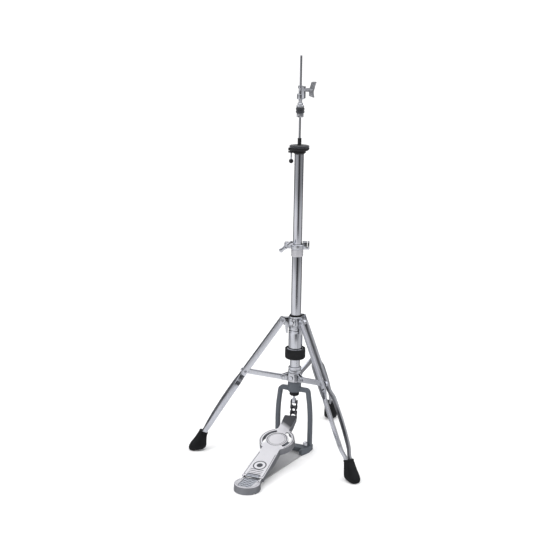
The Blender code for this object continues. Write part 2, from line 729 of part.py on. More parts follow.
def board_outline(inset, heel_y):
    """Anticlockwise outline of the footboard."""
    round_r = ROUND_R - inset
    start = -math.degrees(math.acos((26.0 - inset) / round_r))
    neck, corner = 17.0 - inset, 5
    right = [(30.8 - inset, heel_y + inset), (29.6 - inset, 60.0),
             *arc(0, DISC_V, round_r, start, 66.0, 10),
             (neck + 0.4, BEND_START), (neck, 236.0), (neck + 0.2, 248.0),
             (neck + 0.8, 260.0), (neck + 1.4, 270.0),
             *arc(neck + 1.5 - corner, BOARD_LEN - inset - corner, corner, 0, 90, 3)]
    return right + [(-x, y) for x, y in reversed(right)]


def arc_slot(start, end):
    """Cutter for a curved slot around the disc, with rounded ends."""
    inner, outer, steps = 32.0, 41.2, 8
    middle, end_r = (inner + outer) / 2, (outer - inner) / 2
    x1, y1, _ = polar(end, middle, 0)
    x0, y0, _ = polar(start, middle, 0)
    points = (arc(0, 0, outer, start, end, steps) + arc(x1, y1, end_r, end + 30, end + 150, 3)
              + arc(0, 0, inner, end, start, steps)
              + arc(x0, y0, end_r, start - 150, start - 30, 3))
    return prism([(x, y + DISC_V) for x, y in points], -15, 12)


def bend_toe(bm):
    for v in bm.verts:
        v.co.z += TOE_RISE * max(0.0, (v.co.y - BEND_START) / (BOARD_LEN - BEND_START)) ** 2
    return bm


def build_footboard():
    shell = prism(board_outline(0.0, 7.5), -13.0, BOARD_TOP, 0.9)
    hollow = prism(board_outline(3.0, 1.0), -16.0, 2.6)
    # trims the skirt shallow at the heel and the toe, deep in between: y, z
    skirt_trim = [(-2.0, -20.0), (300.0, -20.0), (300.0, -6.0), (272.0, -6.0),
                  (252.0, -12.4), (90.0, -13.2), (40.0, -6.0), (-2.0, -6.0)]
    trim = place(prism(skirt_trim, -60, 60), cross_frame())
    ear = arc(0, 0, 5.8, 90, 270, 6) + [(14.0, -5.3), (14.0, 5.0)]
    ears = [place(prism(ear, -1.7, 1.7), cross_frame(x=side * 26.0)) for side in (1, -1)]
    board = union(cut(shell, hollow, trim), *ears)

    groove_z = (BOARD_TOP - GROOVE_DEPTH, BOARD_TOP + 1)
    cuts = [arc_slot(118, 212), arc_slot(-38, 62),
            shift(disc(DISC_R, BOARD_TOP - 1.6, BOARD_TOP + 3), y=DISC_V),
            place(disc(HINGE_HOLE_R, -40, 40, 16), cross_frame()),
            shift(lathe([(INLAY_R - 1.2, groove_z[0]), (INLAY_R, groove_z[0]),
                         (INLAY_R, groove_z[1]), (INLAY_R - 1.2, groove_z[1])]), y=INLAY_V)]
    cuts += [box(-15, 15, y, y + 1.4, *groove_z) for y in (32.0, 37.0)]
    cuts += [wave_groove(y, 15.0, BOARD_TOP) for y in (14.5, 21.0)]
    board = place(bend_toe(cut(board, *cuts)), BOARD_FRAME)
    add("footboard", board, "satin_silver", HINGE, sharp=35)


def build_footboard_disc():
    r, bottom = DISC_R - GAP, BOARD_TOP - 1.3
    profile = [(0, bottom), (r, bottom), (r, BOARD_TOP - 0.2),
               (DISC_R - 1.6, BOARD_TOP + 0.3), (0, BOARD_TOP + 0.6)]
    plate = place(shift(lathe(profile), y=DISC_V), BOARD_FRAME)
    add("footboard_disc", plate, "satin_silver", HINGE)


def build_chain_anchor():
    """Tongue under the toe that takes the last chain pin with running play."""
    pin = BOARD_FRAME.inverted() @ Vector((0, *CHAIN_END))
    # outline in the board's frame: y, z
    outline = [(246.0, -0.5), (262.0, -3.0), (280.0, -8.6), *arc(pin.y, pin.z, 6.4, -90, 60, 7),
               (284.2, -0.4), (279.4, -0.4), (279.2, 5.0), (270.0, 5.0), (262.0, 4.2),
               (246.0, 2.6)]
    tongue = place(prism(outline, -4.6, 4.6, 0.4, True), cross_frame())
    hole = place(disc(3.5, -10, 10, 16), cross_frame(y=pin.y, z=pin.z))
    add("chain_anchor", place(cut(tongue, hole), BOARD_FRAME), "black_steel", HINGE)


# ---------------------------------------------------------------------------
# pull rod and chain
# ---------------------------------------------------------------------------
def build_pull_rod():
    """Rod with a collar on the spring and an eye for the first chain pin."""
    z = CHAIN_TOP_Z
    collar_r, collar_z0, collar_z1 = 10.6, SPRING_Z1 + GAP, SPRING_Z1 + 4.3
    rod = lathe([
        (0, z + 7.5), (ROD_R, z + 7.5), (ROD_R, collar_z0), (collar_r, collar_z0),
        (collar_r, collar_z1), (ROD_R, collar_z1), (ROD_R, ROD_TOP - 0.8),
        (ROD_R - 0.8, ROD_TOP), (0, ROD_TOP)], 16)
    outline = arc(0, z, 5.2, 180, 360, 8) + arc(0, z + 7.6, 3.6, 0, 180, 6)
    eye = place(prism(outline, -5.0, 5.0, 0.5, True), cross_frame())
    hole = place(disc(2.5, -10, 10, 14), cross_frame(z=z))
    add("pull_rod", cut(union(rod, eye), hole), "chrome", (0, 0, z))


def chain_link(k, outer):
    """Roller-chain link between chain points k and k + 1."""
    start = Vector(CHAIN_POINTS[k])
    along = Vector(CHAIN_POINTS[k + 1]) - start
    length = along.length
    along.normalize()
    matrix = frame((0, *start), (0, *along), (0, -along.y, along.x), (1, 0, 0))
    end_r, waist = (6.6 if outer else 6.8), 4.3
    outline = (arc(0, 0, end_r, 60, 300, 9) + [(length / 2, -waist)]
               + arc(length, 0, end_r, -120, 120, 9) + [(length / 2, waist)])
    x0, x1 = (7.5, 9.2) if outer else (5.2, 7.0)
    plates = [prism(outline, x0, x1), prism(outline, -x1, -x0)]
    # pins on an outer link, rollers on an inner one: radius, half length, segments
    r, half, seg = (2.2, 9.9, 12) if outer else (5.0, 6.0, 14)
    first, last = [shift(disc(r, -half, half, seg), x) for x in (0, length)]
    link = union(first, *plates, last)
    if not outer:
        link = cut(link, *[shift(disc(2.55, -12, 12, 12), x) for x in (0, length)])
    return place(link, matrix)


def build_chain():
    for k, outer in enumerate((True, False, True)):
        add(f"chain_link_{k + 1}", chain_link(k, outer), "black_steel",
            (0, *CHAIN_POINTS[k]), sharp=35)


# ---------------------------------------------------------------------------
# seat of the lower cymbal
# ---------------------------------------------------------------------------
def build_seat_base():
    """Plug in the upper tube with an ear for the tilt screw."""
    rest, top = UPPER_Z[1] + GAP, 860.0
    plug = lathe([
        (ROD_LOOSE_BORE, 839), (10.6, 839), (10.9, 840), (10.9, rest), (13.2, rest),
        (13.4, 855), (18.0, 858.0), (18.0, top), (ROD_LOOSE_BORE, top)])
    ear = box(-30.4, -12.0, -6.6, 6.6, 855.6, top, 0.6)
    screw_hole = shift(disc(2.55, 840, 870, 12), TILT_X)
    base = cut(union(plug, ear), screw_hole, disc(ROD_LOOSE_BORE, 820, 870))
    add("seat_base", base, "black_plastic")


def build_seat():
    sleeve = tube(5.2, ROD_CLOSE_BORE, 860.3, 896.6, chamfer=0.5)
    add("seat_sleeve", sleeve, "black_plastic")
    origin = (0, 0, TILT_Z)
    cup = lathe([(SEAT_BORE, 862.0), (20.0, 862.0), (24.8, 864.4), (27.4, 868.0),
                 (27.4, 869.7), (SEAT_BORE, 869.7)])
    lug = box(-30.6, -15.0, -6.8, 6.8, 861.4, 869.4, 1.0)
    add("seat_cup", union(cup, lug), "black_plastic", origin, sharp=35)
    felt = lathe([(SEAT_BORE, 870.0), (26.2, 870.0), (27.2, 871.0), (27.2, 876.0),
                  (26.0, 877.2), (SEAT_BORE, 877.2)])
    add("seat_felt", felt, "felt_grey", origin)


def build_tilt_screw():
    screw = shift(disc(2.25, 836.8, 861.0, 12, 0.3), TILT_X)
    add("tilt_screw", screw, "chrome", (TILT_X, 0, 848))
    ball = arc(0, TILT_KNOB_Z, 6.2, -90, 60, 8)
    neck_r, neck_top = 2.6, 836.5
    profile = [(0, ball[0][1]), *ball[1:], (neck_r, ball[-1][1]), (neck_r, neck_top),
               (0, neck_top)]
    add("tilt_knob", shift(lathe(profile, 16), TILT_X), "black_plastic",
        (TILT_X, 0, TILT_KNOB_Z))


# ---------------------------------------------------------------------------
# clutch on the pull rod
# ---------------------------------------------------------------------------
def build_clutch_body():
    bore = ROD_CLOSE_BORE
    stem = lathe([
        (bore, 952.4), (4.8, 952.4), (4.8, 1001.0), (9.0, 1001.0), (9.5, 1002.2),
        (9.5, 1014.2), (8.7, 1015.4), (5.0, 1015.4), (5.0, 1029.0), (6.6, 1029.6),
        (7.0, 1030.4), (7.0, 1036.2), (6.3, 1037.0), (bore, 1037.0)])
    spine = shift(prism(rounded_rect(4.4, 6.4, 2.0, 2), 1003.0, 1035.4, 0.8, True), 8.4)
    screw_frame = cross_frame(z=CLUTCH_SCREW_Z)
    boss = place(disc(5.0, 3.5, 16.0, 18, 0.8), screw_frame)
    screw_hole = place(disc(2.7, 3.45, 30, 14), screw_frame)
    body = cut(union(stem, spine, boss), disc(bore, 940, 1050), screw_hole)
    add("clutch_body", body, "chrome", (0, 0, CLUTCH_SCREW_Z), sharp=35)


def build_clutch_felts():
    for name, z0, z1, origin_z in (("upper", 971.5, 979.0, 975), ("lower", 963.6, 971.2, 967)):
        add(f"clutch_felt_{name}", tube(11.9, CLUTCH_BORE, z0, z1, 28, 1.0), "felt_black",
            (0, 0, origin_z))


def build_clutch_nuts():
    profile = [(CLUTCH_BORE, 979.4), (9.4, 979.4), (10.4, 980.4), (10.4, 983.6), (9.0, 985.0),
               (7.2, 986.0), (7.2, 991.0), (6.6, 991.6), (CLUTCH_BORE, 991.6)]
    lock = lathe(profile, 24, knurl(0.5, (2, 3), 4))
    add("clutch_lock_nut", lock, "chrome", (0, 0, 985))
    profile = [(CLUTCH_BORE, 953.0), (8.6, 953.0), (9.3, 954.0), (9.3, 962.2), (8.6, 963.2),
               (CLUTCH_BORE, 963.2)]
    bottom = lathe(profile, 24, knurl(0.6, (2, 3), 3))
    bottom = cut(bottom, box(-2.0, 2.0, -15, 15, 950, 956.8))
    add("clutch_bottom_nut", bottom, "chrome", (0, 0, 957))


def build_clutch_wing_screw():
    """Fan-shaped wing screw pointing away from the rod."""
    # wing outline: x, height above the screw axis
    outline = [(24.9, -16.0), (31.0, -17.6), (39.4, -19.6), (38.2, -13.0), (37.6, -6.0),
               (38.2, -1.0), (40.2, 5.0), (42.0, 13.0), (45.0, 21.6), (41.0, 22.6),
               (31.4, 21.0), (28.8, 13.0), (26.4, 6.0), (25.2, 0.0), (24.7, -8.0)]
    upright = frame((0, 0, CLUTCH_SCREW_Z), (1, 0, 0), (0, 0, 1), (0, -1, 0))
    wing = place(prism(outline, -1.8, 1.8, 0.6, True), upright)
    profile = [(0, 5.6), (2.4, 5.6), (2.4, 16.6), (5.4, 16.6), (5.4, 27.0), (5.8, 28.0),
               (5.4, 36.0), (4.4, 37.0), (0, 37.0)]
    shank = place(lathe(profile, 16), cross_frame(z=CLUTCH_SCREW_Z))
    add("clutch_wing_screw", union(wing, shank), "chrome", (16, 0, CLUTCH_SCREW_Z), sharp=35)


build_lower_tube()
build_spring_housing()
build_return_spring()
build_tube_collar()
build_height_clamp()
build_height_wing_screw()
build_tension_ring()
build_spring_carrier()
build_leg_hub()
build_brace_hub()
for leg_name, leg_angle in LEG_ANGLES.items():
    build_leg(leg_name, leg_angle)
build_pedal_frame()
build_frame_bush()
build_spur_screws()
build_base_plate()
build_heel_plate()
build_footboard()
build_footboard_disc()
build_chain_anchor()
build_pull_rod()
build_chain()
build_upper_tube()
build_seat_base()
build_seat()
build_tilt_screw()
build_clutch_body()
build_clutch_felts()
build_clutch_nuts()
build_clutch_wing_screw()
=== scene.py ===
"""Looks of a pedal-operated cymbal stand (hi-hat stand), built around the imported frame.

Shapes are made in millimetres and scaled to metres. The column stands on Z over a floor at
z = 0, the pedal reaches forward along -Y and +X is the stand's right side. Every visible piece
stands for the CAD node of its name and rides on that node's body.
"""
import json
from math import acos, copysign, cos, degrees, exp, hypot, pi, radians, sin, sqrt, tan

import bmesh
import bpy
from mathutils import Matrix, Vector

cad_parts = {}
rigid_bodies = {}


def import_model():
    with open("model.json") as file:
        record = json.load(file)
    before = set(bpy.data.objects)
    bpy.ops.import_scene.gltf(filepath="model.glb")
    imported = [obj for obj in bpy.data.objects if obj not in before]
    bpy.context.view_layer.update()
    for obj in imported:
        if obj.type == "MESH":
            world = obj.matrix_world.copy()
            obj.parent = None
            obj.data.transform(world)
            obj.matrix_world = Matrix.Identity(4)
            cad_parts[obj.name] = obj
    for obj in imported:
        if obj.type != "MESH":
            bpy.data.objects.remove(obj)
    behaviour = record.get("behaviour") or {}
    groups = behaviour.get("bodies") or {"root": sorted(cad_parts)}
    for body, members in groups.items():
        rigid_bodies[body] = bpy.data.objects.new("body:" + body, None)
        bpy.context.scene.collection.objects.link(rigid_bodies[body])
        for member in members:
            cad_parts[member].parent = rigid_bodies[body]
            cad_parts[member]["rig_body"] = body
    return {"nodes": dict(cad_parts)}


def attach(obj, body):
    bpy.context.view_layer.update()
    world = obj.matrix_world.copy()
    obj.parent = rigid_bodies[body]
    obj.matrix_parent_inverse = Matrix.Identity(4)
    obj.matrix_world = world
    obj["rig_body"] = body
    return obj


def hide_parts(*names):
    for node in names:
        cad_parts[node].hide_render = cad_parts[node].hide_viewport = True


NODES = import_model()["nodes"]


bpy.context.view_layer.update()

# ---------------------------------------------------------------------------
# dimensions in millimetres, angles in degrees about Z from +X
# ---------------------------------------------------------------------------
MM = 0.001
GAP = 0.3                                       # play between nested parts

# column and pull rod
LOWER_R, LOWER_INNER_R, LOWER_Z0, LOWER_Z1 = 14.3, 12.9, 177.2, 575.0
UPPER_R, UPPER_INNER_R, UPPER_Z0, UPPER_Z1 = 12.6, 11.2, 430.0, 853.0
LOWER_BORE, UPPER_BORE = LOWER_R + GAP, UPPER_R + GAP
ROD_R, ROD_TOP = 3.0, 1117.0
ROD_BORE, ROD_SNUG_BORE = ROD_R + 0.6, ROD_R + 0.35
HOUSING_R, HOUSING_Z0, HOUSING_Z1 = 19.8, 271.0, 356.0
SLOT_HALF, SLOT_Z0 = 3.4, 274.0
CLAMP_ANGLE, CLAMP_BLOCK_ANGLE = 200.0, 22.0
CLAMP_SCREW_R, CLAMP_SCREW_Z = 30.0, 599.5      # centre of the wing screw

# tension unit
RING_R, RING_Z0, RING_Z1 = 29.0, 273.0, 303.0
CARRIER_Z0, CARRIER_Z1 = 283.0, 291.0
SPRING_Z0, SPRING_Z1 = 291.5, 366.0
SPRING_TURNS, SPRING_STEPS = 8, 36              # steps per turn
WIRE_R, COIL_R = 0.9, 9.1

# tripod; points are (radius, height) in the plane of a leg
LEGS = (("left", 207.5), ("right", 327.5), ("back", 87.5))
FRONT_ANGLE = 267.5
LEG_PIN, BRACE_PIN, RIVET = (38.0, 386.0), (33.0, 216.5), (141.5, 236.5)
LEG_DEPTH, LEG_DEPTH_FOOT = 15.0, 12.6
LEG_HALF_TOP, LEG_HALF_BOW, LEG_HALF_FOOT = 11.0, 18.5, 10.0
FLANGE, SHEET = 5.8, 1.6
FOOT_H = 56.0
LEG_SCREW_Z, BRACE_SCREW_Z = 382.0, 218.5
# pressed bands of the leg strips: radius, height, half length, half width of the leg there
BANDS = ((150.0, 224.0, 2.2, 11.0), (162.8, 205.0, 4.0, 17.1))
BAND_DIR, BAND_HALF = (0.56, -0.83), 6.3
# foot stations: height, radius, half length, half width, tilt, superellipse exponent
FOOT_SECTIONS = (
    (3.3, 276.0, 22.0, 15.4, -8, 2.6), (6.4, 276.3, 25.0, 17.4, -8, 2.6),
    (12.5, 275.8, 25.8, 18.0, -6, 2.6), (21.0, 272.8, 23.0, 17.0, 0, 2.8),
    (31.0, 267.8, 18.4, 15.4, 8, 3.0), (44.0, 262.8, 14.4, 13.6, 16, 3.4),
    (FOOT_H, 257.8, 13.0, 12.8, 20, 3.6))

# pedal; u runs across the board, v along it from the hinge
HINGE_Y, HINGE_Z, HINGE_BORE = -292.0, 16.0, 2.8
BOARD_TILT, BOARD_LEN, BOARD_TOP = 16.0, 283.0, 6.3
TOE_BEND_V, TOE_LIFT = 226.0, 7.0
DISC_V, DISC_R, ROUND_R = 177.9, 27.0, 49.3     # round part of the board and its centre disc
ARC_SLOT_R0, ARC_SLOT_R1 = 32.0, 41.2
INLAY_V = 57.5
HEEL_C, HEEL_R, HEEL_H = -319.0, 35.0, 20.0
SPUR_X, SPUR_Y = 43.0, -15.0
CHAIN_TOP_Z, CHAIN_END = 141.0, (-4.5, 93.5)    # end as (y, z)
LINK_COUNT = 3

# seat and clutch
TILT_X = -23.5
CLUTCH_SCREW_Z = 1026.5

# camera placing, also used to turn the floor and the studio
AZIMUTH, ELEVATION, ROLL = radians(22.289), radians(13.644), radians(1.114)


# ---------------------------------------------------------------------------
# finishes (all procedural)
# ---------------------------------------------------------------------------
class Graph:
    """Builds nodes; an input may be a number, a tuple or the socket to link from."""

    def __init__(self, tree):
        self.tree = tree

    def feed(self, socket, value):
        if isinstance(value, bpy.types.NodeSocket):
            self.tree.links.new(value, socket)
        elif isinstance(value, tuple) and socket.type == "RGBA":
            socket.default_value = (*value, 1.0)
        else:
            socket.default_value = value

    def node(self, kind, settings=None, **inputs):
        node = self.tree.nodes.new("ShaderNode" + kind)
        for key, value in (settings or {}).items():
            setattr(node, key, value)
        for key, value in inputs.items():
            self.feed(node.inputs[key.replace("_", " ")], value)
        return node

    def span(self, value, to=(0.0, 1.0), over=(0.3, 0.7), smooth=False):
        """Maps the range `over` of a value onto the range `to`."""
        settings = {"interpolation_type": "SMOOTHSTEP"} if smooth else None
        return self.node("MapRange", settings, Value=value, From_Min=over[0], From_Max=over[1],
                         To_Min=to[0], To_Max=to[1]).outputs["Result"]

    def ramp(self, value, stops):
        """Colour ramp; stops are (position, colour)."""
        node = self.node("ValToRGB", Fac=value)
        elements = node.color_ramp.elements
        while len(elements) < len(stops):
            elements.new(0.5)
        for element, (position, colour) in zip(elements, stops):
            element.position = position
            element.color = (*colour, 1.0)
        return node.outputs["Color"]

    def mix(self, factor, first, second, mode="MIX"):
        node = self.node("Mix", {"data_type": "RGBA", "blend_type": mode})
        for index, value in ((0, factor), (6, first), (7, second)):
            self.feed(node.inputs[index], value)
        return node.outputs[2]

    def ordered(self, kind, settings, *values):
        """A node with its inputs given in order."""
        node = self.node(kind, settings)
        for socket, value in zip(node.inputs, values):
            self.feed(socket, value)
        return node.outputs[0]

    def calc(self, operation, *values):
        return self.ordered("Math", {"operation": operation}, *values)


class Finish(Graph):
    """A node material in object coordinates."""

    def __init__(self, name):
        self.material = bpy.data.materials.new(name)
        self.material.use_nodes = True
        super().__init__(self.material.node_tree)
        self.shader = self.tree.nodes["Principled BSDF"]
        self.place = self.node("TexCoord").outputs["Object"]

    def noise(self, scale, detail=3.0, rough=0.55, stretch=None):
        place = self.place
        if stretch:
            place = self.node("Mapping", Vector=place, Scale=stretch).outputs["Vector"]
        return self.node("TexNoise", Vector=place, Scale=scale, Detail=detail,
                         Roughness=rough).outputs["Fac"]

    def cells(self, scale):
        return self.node("TexVoronoi", Vector=self.place, Scale=scale).outputs["Distance"]

    def clouds(self, scale, detail, stops):
        """Soft patches of the ramp colours."""
        return self.ramp(self.noise(scale, detail), stops)

    def xyz(self):
        return self.node("SeparateXYZ", Vector=self.place).outputs

    def worn(self, colour, bare, amount, over=(0.52, 0.60)):
        """Bare metal on outer edges, by the pointiness of the surface."""
        edge = self.node("NewGeometry").outputs["Pointiness"]
        return self.mix(self.span(edge, to=(0.0, amount), over=over), colour, bare)

    def painted_corner_shade(self, colour, distance, darkest):
        # painted shade: darkens the colour in corners and crevices by ambient occlusion
        corner = self.node("AmbientOcclusion", {"samples": 6}, Distance=distance)
        shade = self.span(corner.outputs["AO"], to=(darkest, 1.0), over=(0.35, 0.92))
        return self.mix(1.0, colour, shade, "MULTIPLY")

    def layered(self, coarse, fine, share):
        return self.calc("ADD", coarse, self.calc("MULTIPLY", fine, share))

    def surface(self, **inputs):
        for key, value in inputs.items():
            self.feed(self.shader.inputs[key.replace("_", " ")], value)

    def bump(self, height, strength, distance):
        node = self.node("Bump", Height=height, Strength=strength, Distance=distance)
        self.feed(self.shader.inputs["Normal"], node.outputs["Normal"])
        return self.material


def chrome_finish():
    mat = Finish("chrome_plate")
    smear = mat.noise(60.0, rough=0.6, stretch=(1.0, 1.0, 0.25))
    colour = mat.clouds(9.0, 4.0, [(0.25, (0.74, 0.755, 0.80)), (0.6, (0.83, 0.84, 0.875)),
                                   (0.85, (0.79, 0.80, 0.85))])
    colour = mat.worn(colour, bare=(0.93, 0.93, 0.94), amount=0.35, over=(0.52, 0.62))
    mat.surface(Base_Color=colour, Metallic=1.0,
                Roughness=mat.span(smear, to=(0.07, 0.17), over=(0.3, 0.75)))
    height = mat.layered(smear, mat.noise(900.0, detail=2.0), share=0.3)
    return mat.bump(height, strength=0.10, distance=0.00035)


def cast_chrome_finish():
    mat = Finish("cast_chrome")
    soft = mat.noise(70.0, detail=4.0)
    colour = mat.clouds(14.0, 3.0, [(0.25, (0.70, 0.715, 0.75)), (0.7, (0.82, 0.83, 0.86))])
    colour = mat.worn(colour, bare=(0.94, 0.94, 0.95), amount=0.4)
    # painted shade in the corners of the casting
    colour = mat.painted_corner_shade(colour, distance=0.009, darkest=0.16)
    mat.surface(Base_Color=colour, Metallic=1.0, Roughness=mat.span(soft, to=(0.10, 0.24)))
    height = mat.layered(soft, mat.noise(1200.0, detail=2.0), share=0.25)
    return mat.bump(height, strength=0.25, distance=0.0005)


def drawn_finish(mat, colour, metallic, roughness, strength):
    """Completes a finish with the grain of drawn sheet along Z."""
    drawn = mat.noise(420.0, rough=0.6, stretch=(1.0, 1.0, 0.12))
    mat.surface(Base_Color=colour, Metallic=metallic, Roughness=mat.span(drawn, to=roughness))
    return mat.bump(drawn, strength=strength, distance=0.0002)


def leg_finish():
    mat = Finish("leg_chrome")
    colour = mat.clouds(6.0, 4.0, [(0.25, (0.83, 0.85, 0.91)), (0.7, (0.90, 0.91, 0.96))])
    colour = mat.worn(colour, bare=(0.95, 0.95, 0.96), amount=0.3)
    return drawn_finish(mat, colour, metallic=1.0, roughness=(0.16, 0.27), strength=0.05)


def shaded_leg_finish(name, dark, light):
    """Plating with painted shade, for inside the channels and on the bent flanges of the legs."""
    mat = Finish(name)
    colour = mat.clouds(22.0, 4.0, [(0.25, dark), (0.75, light)])
    return drawn_finish(mat, colour, metallic=0.6, roughness=(0.28, 0.45), strength=0.08)


def far_leg_shade_finish():
    """Painted shade inside the right leg's channels, darkest on the lower bend."""
    mat = Finish("right_leg_inside_shade")
    ragged = mat.span(mat.noise(22.0, detail=4.0), to=(-0.006, 0.006))
    height = mat.calc("ADD", mat.xyz()["Z"], ragged)
    colour = mat.ramp(mat.span(height, over=(0.0, 0.40)), [
        (0.12, (0.50, 0.505, 0.53)), (0.22, (0.26, 0.265, 0.29)), (0.27, (0.085, 0.088, 0.10)),
        (0.42, (0.075, 0.078, 0.09)), (0.48, (0.40, 0.405, 0.43)), (0.95, (0.47, 0.475, 0.50))])
    return drawn_finish(mat, colour, metallic=0.6, roughness=(0.28, 0.45), strength=0.08)


def satin_finish(name, tones, streak, metallic, shade=None):
    """Satin silver lacquer over a brushed casting; shade(mat, colour) may paint shade into it."""
    mat = Finish(name)
    brush = mat.noise(520.0, rough=0.65, stretch=(1.0, 0.06, 0.4))
    colour = mat.clouds(11.0, 4.0, list(zip((0.2, 0.5, 0.8), tones)))
    colour = mat.mix(mat.span(brush, to=(0.0, 0.22)), colour, streak)
    colour = mat.worn(colour, bare=(0.9, 0.9, 0.91), amount=0.45)
    if shade:
        colour = shade(mat, colour)
    mat.surface(Base_Color=colour, Metallic=metallic, Roughness=mat.span(brush, to=(0.34, 0.5)))
    height = mat.layered(brush, mat.noise(1500.0, detail=2.0), share=0.4)
    return mat.bump(height, strength=0.10, distance=0.00025)


def painted_toe_shade(mat, colour):
    """Painted shade on the raised toe, skewed so that the right flank turns dark first."""
    slope_y, slope_z, skew = 0.9613, 0.2756, 0.55   # slopes: rounded cos and sin of the tilt
    start = HINGE_Y * MM * slope_y + HINGE_Z * MM * slope_z + 0.234
    place = mat.xyz()
    reach = mat.calc("ADD", mat.calc("MULTIPLY", place["Y"], slope_y),
                     mat.calc("MULTIPLY", place["Z"], slope_z))
    reach = mat.calc("ADD", reach, mat.calc("MULTIPLY", place["X"], skew))
    toe = mat.span(reach, to=(0.0, 0.95), over=(start + 0.001, start + 0.017))
    return mat.mix(toe, colour, (0.065, 0.066, 0.072))


def panel_finish():
    """Greyer satin of the sunken panels."""
    mat = Finish("satin_panel")
    brush = mat.noise(520.0, rough=0.65, stretch=(0.06, 1.0, 0.4))
    colour = mat.clouds(30.0, 4.0, [(0.25, (0.46, 0.48, 0.53)), (0.75, (0.58, 0.60, 0.65))])
    mat.surface(Base_Color=colour, Metallic=0.6, Roughness=mat.span(brush, to=(0.38, 0.55)))
    return mat.bump(brush, strength=0.10, distance=0.00025)


def dull_cast_finish():
    """Duller plating of the clutch wing screw."""
    mat = Finish("dull_cast_plate")
    soft = mat.noise(90.0, detail=4.0)
    colour = mat.clouds(40.0, 3.0, [(0.25, (0.30, 0.305, 0.32)), (0.7, (0.42, 0.425, 0.445))])
    colour = mat.worn(colour, bare=(0.62, 0.62, 0.64), amount=0.5)
    # painted shade in the corners of the wing screw
    colour = mat.painted_corner_shade(colour, distance=0.006, darkest=0.3)
    mat.surface(Base_Color=colour, Metallic=0.9, Roughness=mat.span(soft, to=(0.2, 0.34)))
    return mat.bump(soft, strength=0.25, distance=0.0004)


def flank_shade_finish():
    """Painted shade: darker finish for the flanks of the castings."""
    mat = Finish("cast_flank_shade")
    grain = mat.noise(1100.0)
    colour = mat.clouds(30.0, 4.0, [(0.25, (0.20, 0.205, 0.225)), (0.75, (0.29, 0.295, 0.315))])
    mat.surface(Base_Color=colour, Metallic=0.7, Roughness=mat.span(grain, to=(0.38, 0.55)))
    return mat.bump(grain, strength=0.25, distance=0.0003)


def paint_finish():
    """Blue-grey powder coat with orange peel and light specks."""
    mat = Finish("grey_powder_coat")
    peel = mat.noise(760.0, detail=2.0)
    colour = mat.clouds(16.0, 3.0, [(0.25, (0.026, 0.031, 0.038)), (0.75, (0.044, 0.051, 0.060))])
    colour = mat.worn(colour, bare=(0.16, 0.175, 0.20), amount=0.4, over=(0.52, 0.62))
    speck = mat.span(mat.cells(1500.0), to=(0.0, 0.12), over=(0.0, 0.25))
    colour = mat.mix(speck, (0.10, 0.112, 0.13), colour)
    mat.surface(Base_Color=colour, Metallic=0.1, Roughness=mat.span(peel, to=(0.34, 0.48)),
                Specular_IOR_Level=0.40)
    return mat.bump(peel, strength=0.35, distance=0.0005)


def plastic_finish():
    mat = Finish("black_plastic")
    grain = mat.cells(1700.0)
    colour = mat.clouds(40.0, 3.0, [(0.3, (0.006, 0.006, 0.007)), (0.7, (0.014, 0.014, 0.016))])
    colour = mat.worn(colour, bare=(0.05, 0.05, 0.055), amount=0.5, over=(0.52, 0.62))
    mat.surface(Base_Color=colour, Specular_IOR_Level=0.32,
                Roughness=mat.span(grain, to=(0.36, 0.55), over=(0.1, 0.6)))
    return mat.bump(grain, strength=0.25, distance=0.0003)


def black_steel_finish():
    mat = Finish("black_steel")
    cloud = mat.noise(120.0, detail=4.0)
    colour = mat.ramp(cloud, [(0.3, (0.022, 0.022, 0.025)), (0.7, (0.06, 0.06, 0.066))])
    colour = mat.worn(colour, bare=(0.36, 0.36, 0.38), amount=0.7, over=(0.51, 0.58))
    mat.surface(Base_Color=colour, Metallic=0.75, Roughness=mat.span(cloud, to=(0.24, 0.45)))
    return mat.bump(cloud, strength=0.12, distance=0.0003)


def rubber_finish():
    mat = Finish("moulded_rubber")
    grain = mat.noise(1300.0, rough=0.7)
    dust = mat.noise(210.0, detail=5.0, rough=0.7)
    colour = mat.clouds(45.0, 4.0, [(0.3, (0.0035, 0.0038, 0.0045)), (0.7, (0.0075, 0.008, 0.009))])
    colour = mat.mix(mat.span(dust, to=(0.0, 0.10), over=(0.55, 0.8)), colour, (0.05, 0.05, 0.052))
    mat.surface(Base_Color=colour, Roughness=mat.span(grain, to=(0.34, 0.55)),
                Specular_IOR_Level=0.22)
    return mat.bump(mat.layered(grain, dust, share=0.4), strength=0.35, distance=0.0005)


def felt_finish(name, dark, light):
    """Pressed wool felt: matted fibres and a soft sheen."""
    mat = Finish(name)
    fibres = mat.calc("MAXIMUM", *(mat.noise(2100.0, detail=4.0, rough=0.75, stretch=stretch)
                                   for stretch in ((1.0, 0.35, 0.6), (0.3, 1.0, 0.7))))
    mottle = mat.noise(260.0, detail=5.0, rough=0.7)
    colour = mat.ramp(fibres, [(0.35, dark), (0.75, light)])
    colour = mat.mix(mat.span(mottle, to=(0.0, 0.35)), colour, tuple(0.55 * c for c in dark))
    mat.surface(Base_Color=colour, Roughness=0.96, Sheen_Weight=0.22, Sheen_Roughness=0.5,
                Specular_IOR_Level=0.12)
    return mat.bump(mat.calc("ADD", fibres, mottle), strength=0.9, distance=0.0012)


def plate_finish():
    """Satin sheet steel, ground along its length."""
    mat = Finish("plate_steel")
    ground = mat.noise(700.0, rough=0.7, stretch=(1.0, 0.04, 1.0))
    colour = mat.clouds(7.0, 4.0, [(0.25, (0.44, 0.44, 0.445)), (0.75, (0.55, 0.55, 0.555))])
    colour = mat.mix(mat.span(ground, to=(0.0, 0.25)), colour, (0.62, 0.62, 0.62))
    mat.surface(Base_Color=colour, Metallic=0.55, Roughness=mat.span(ground, to=(0.34, 0.5)))
    return mat.bump(ground, strength=0.12, distance=0.0002)


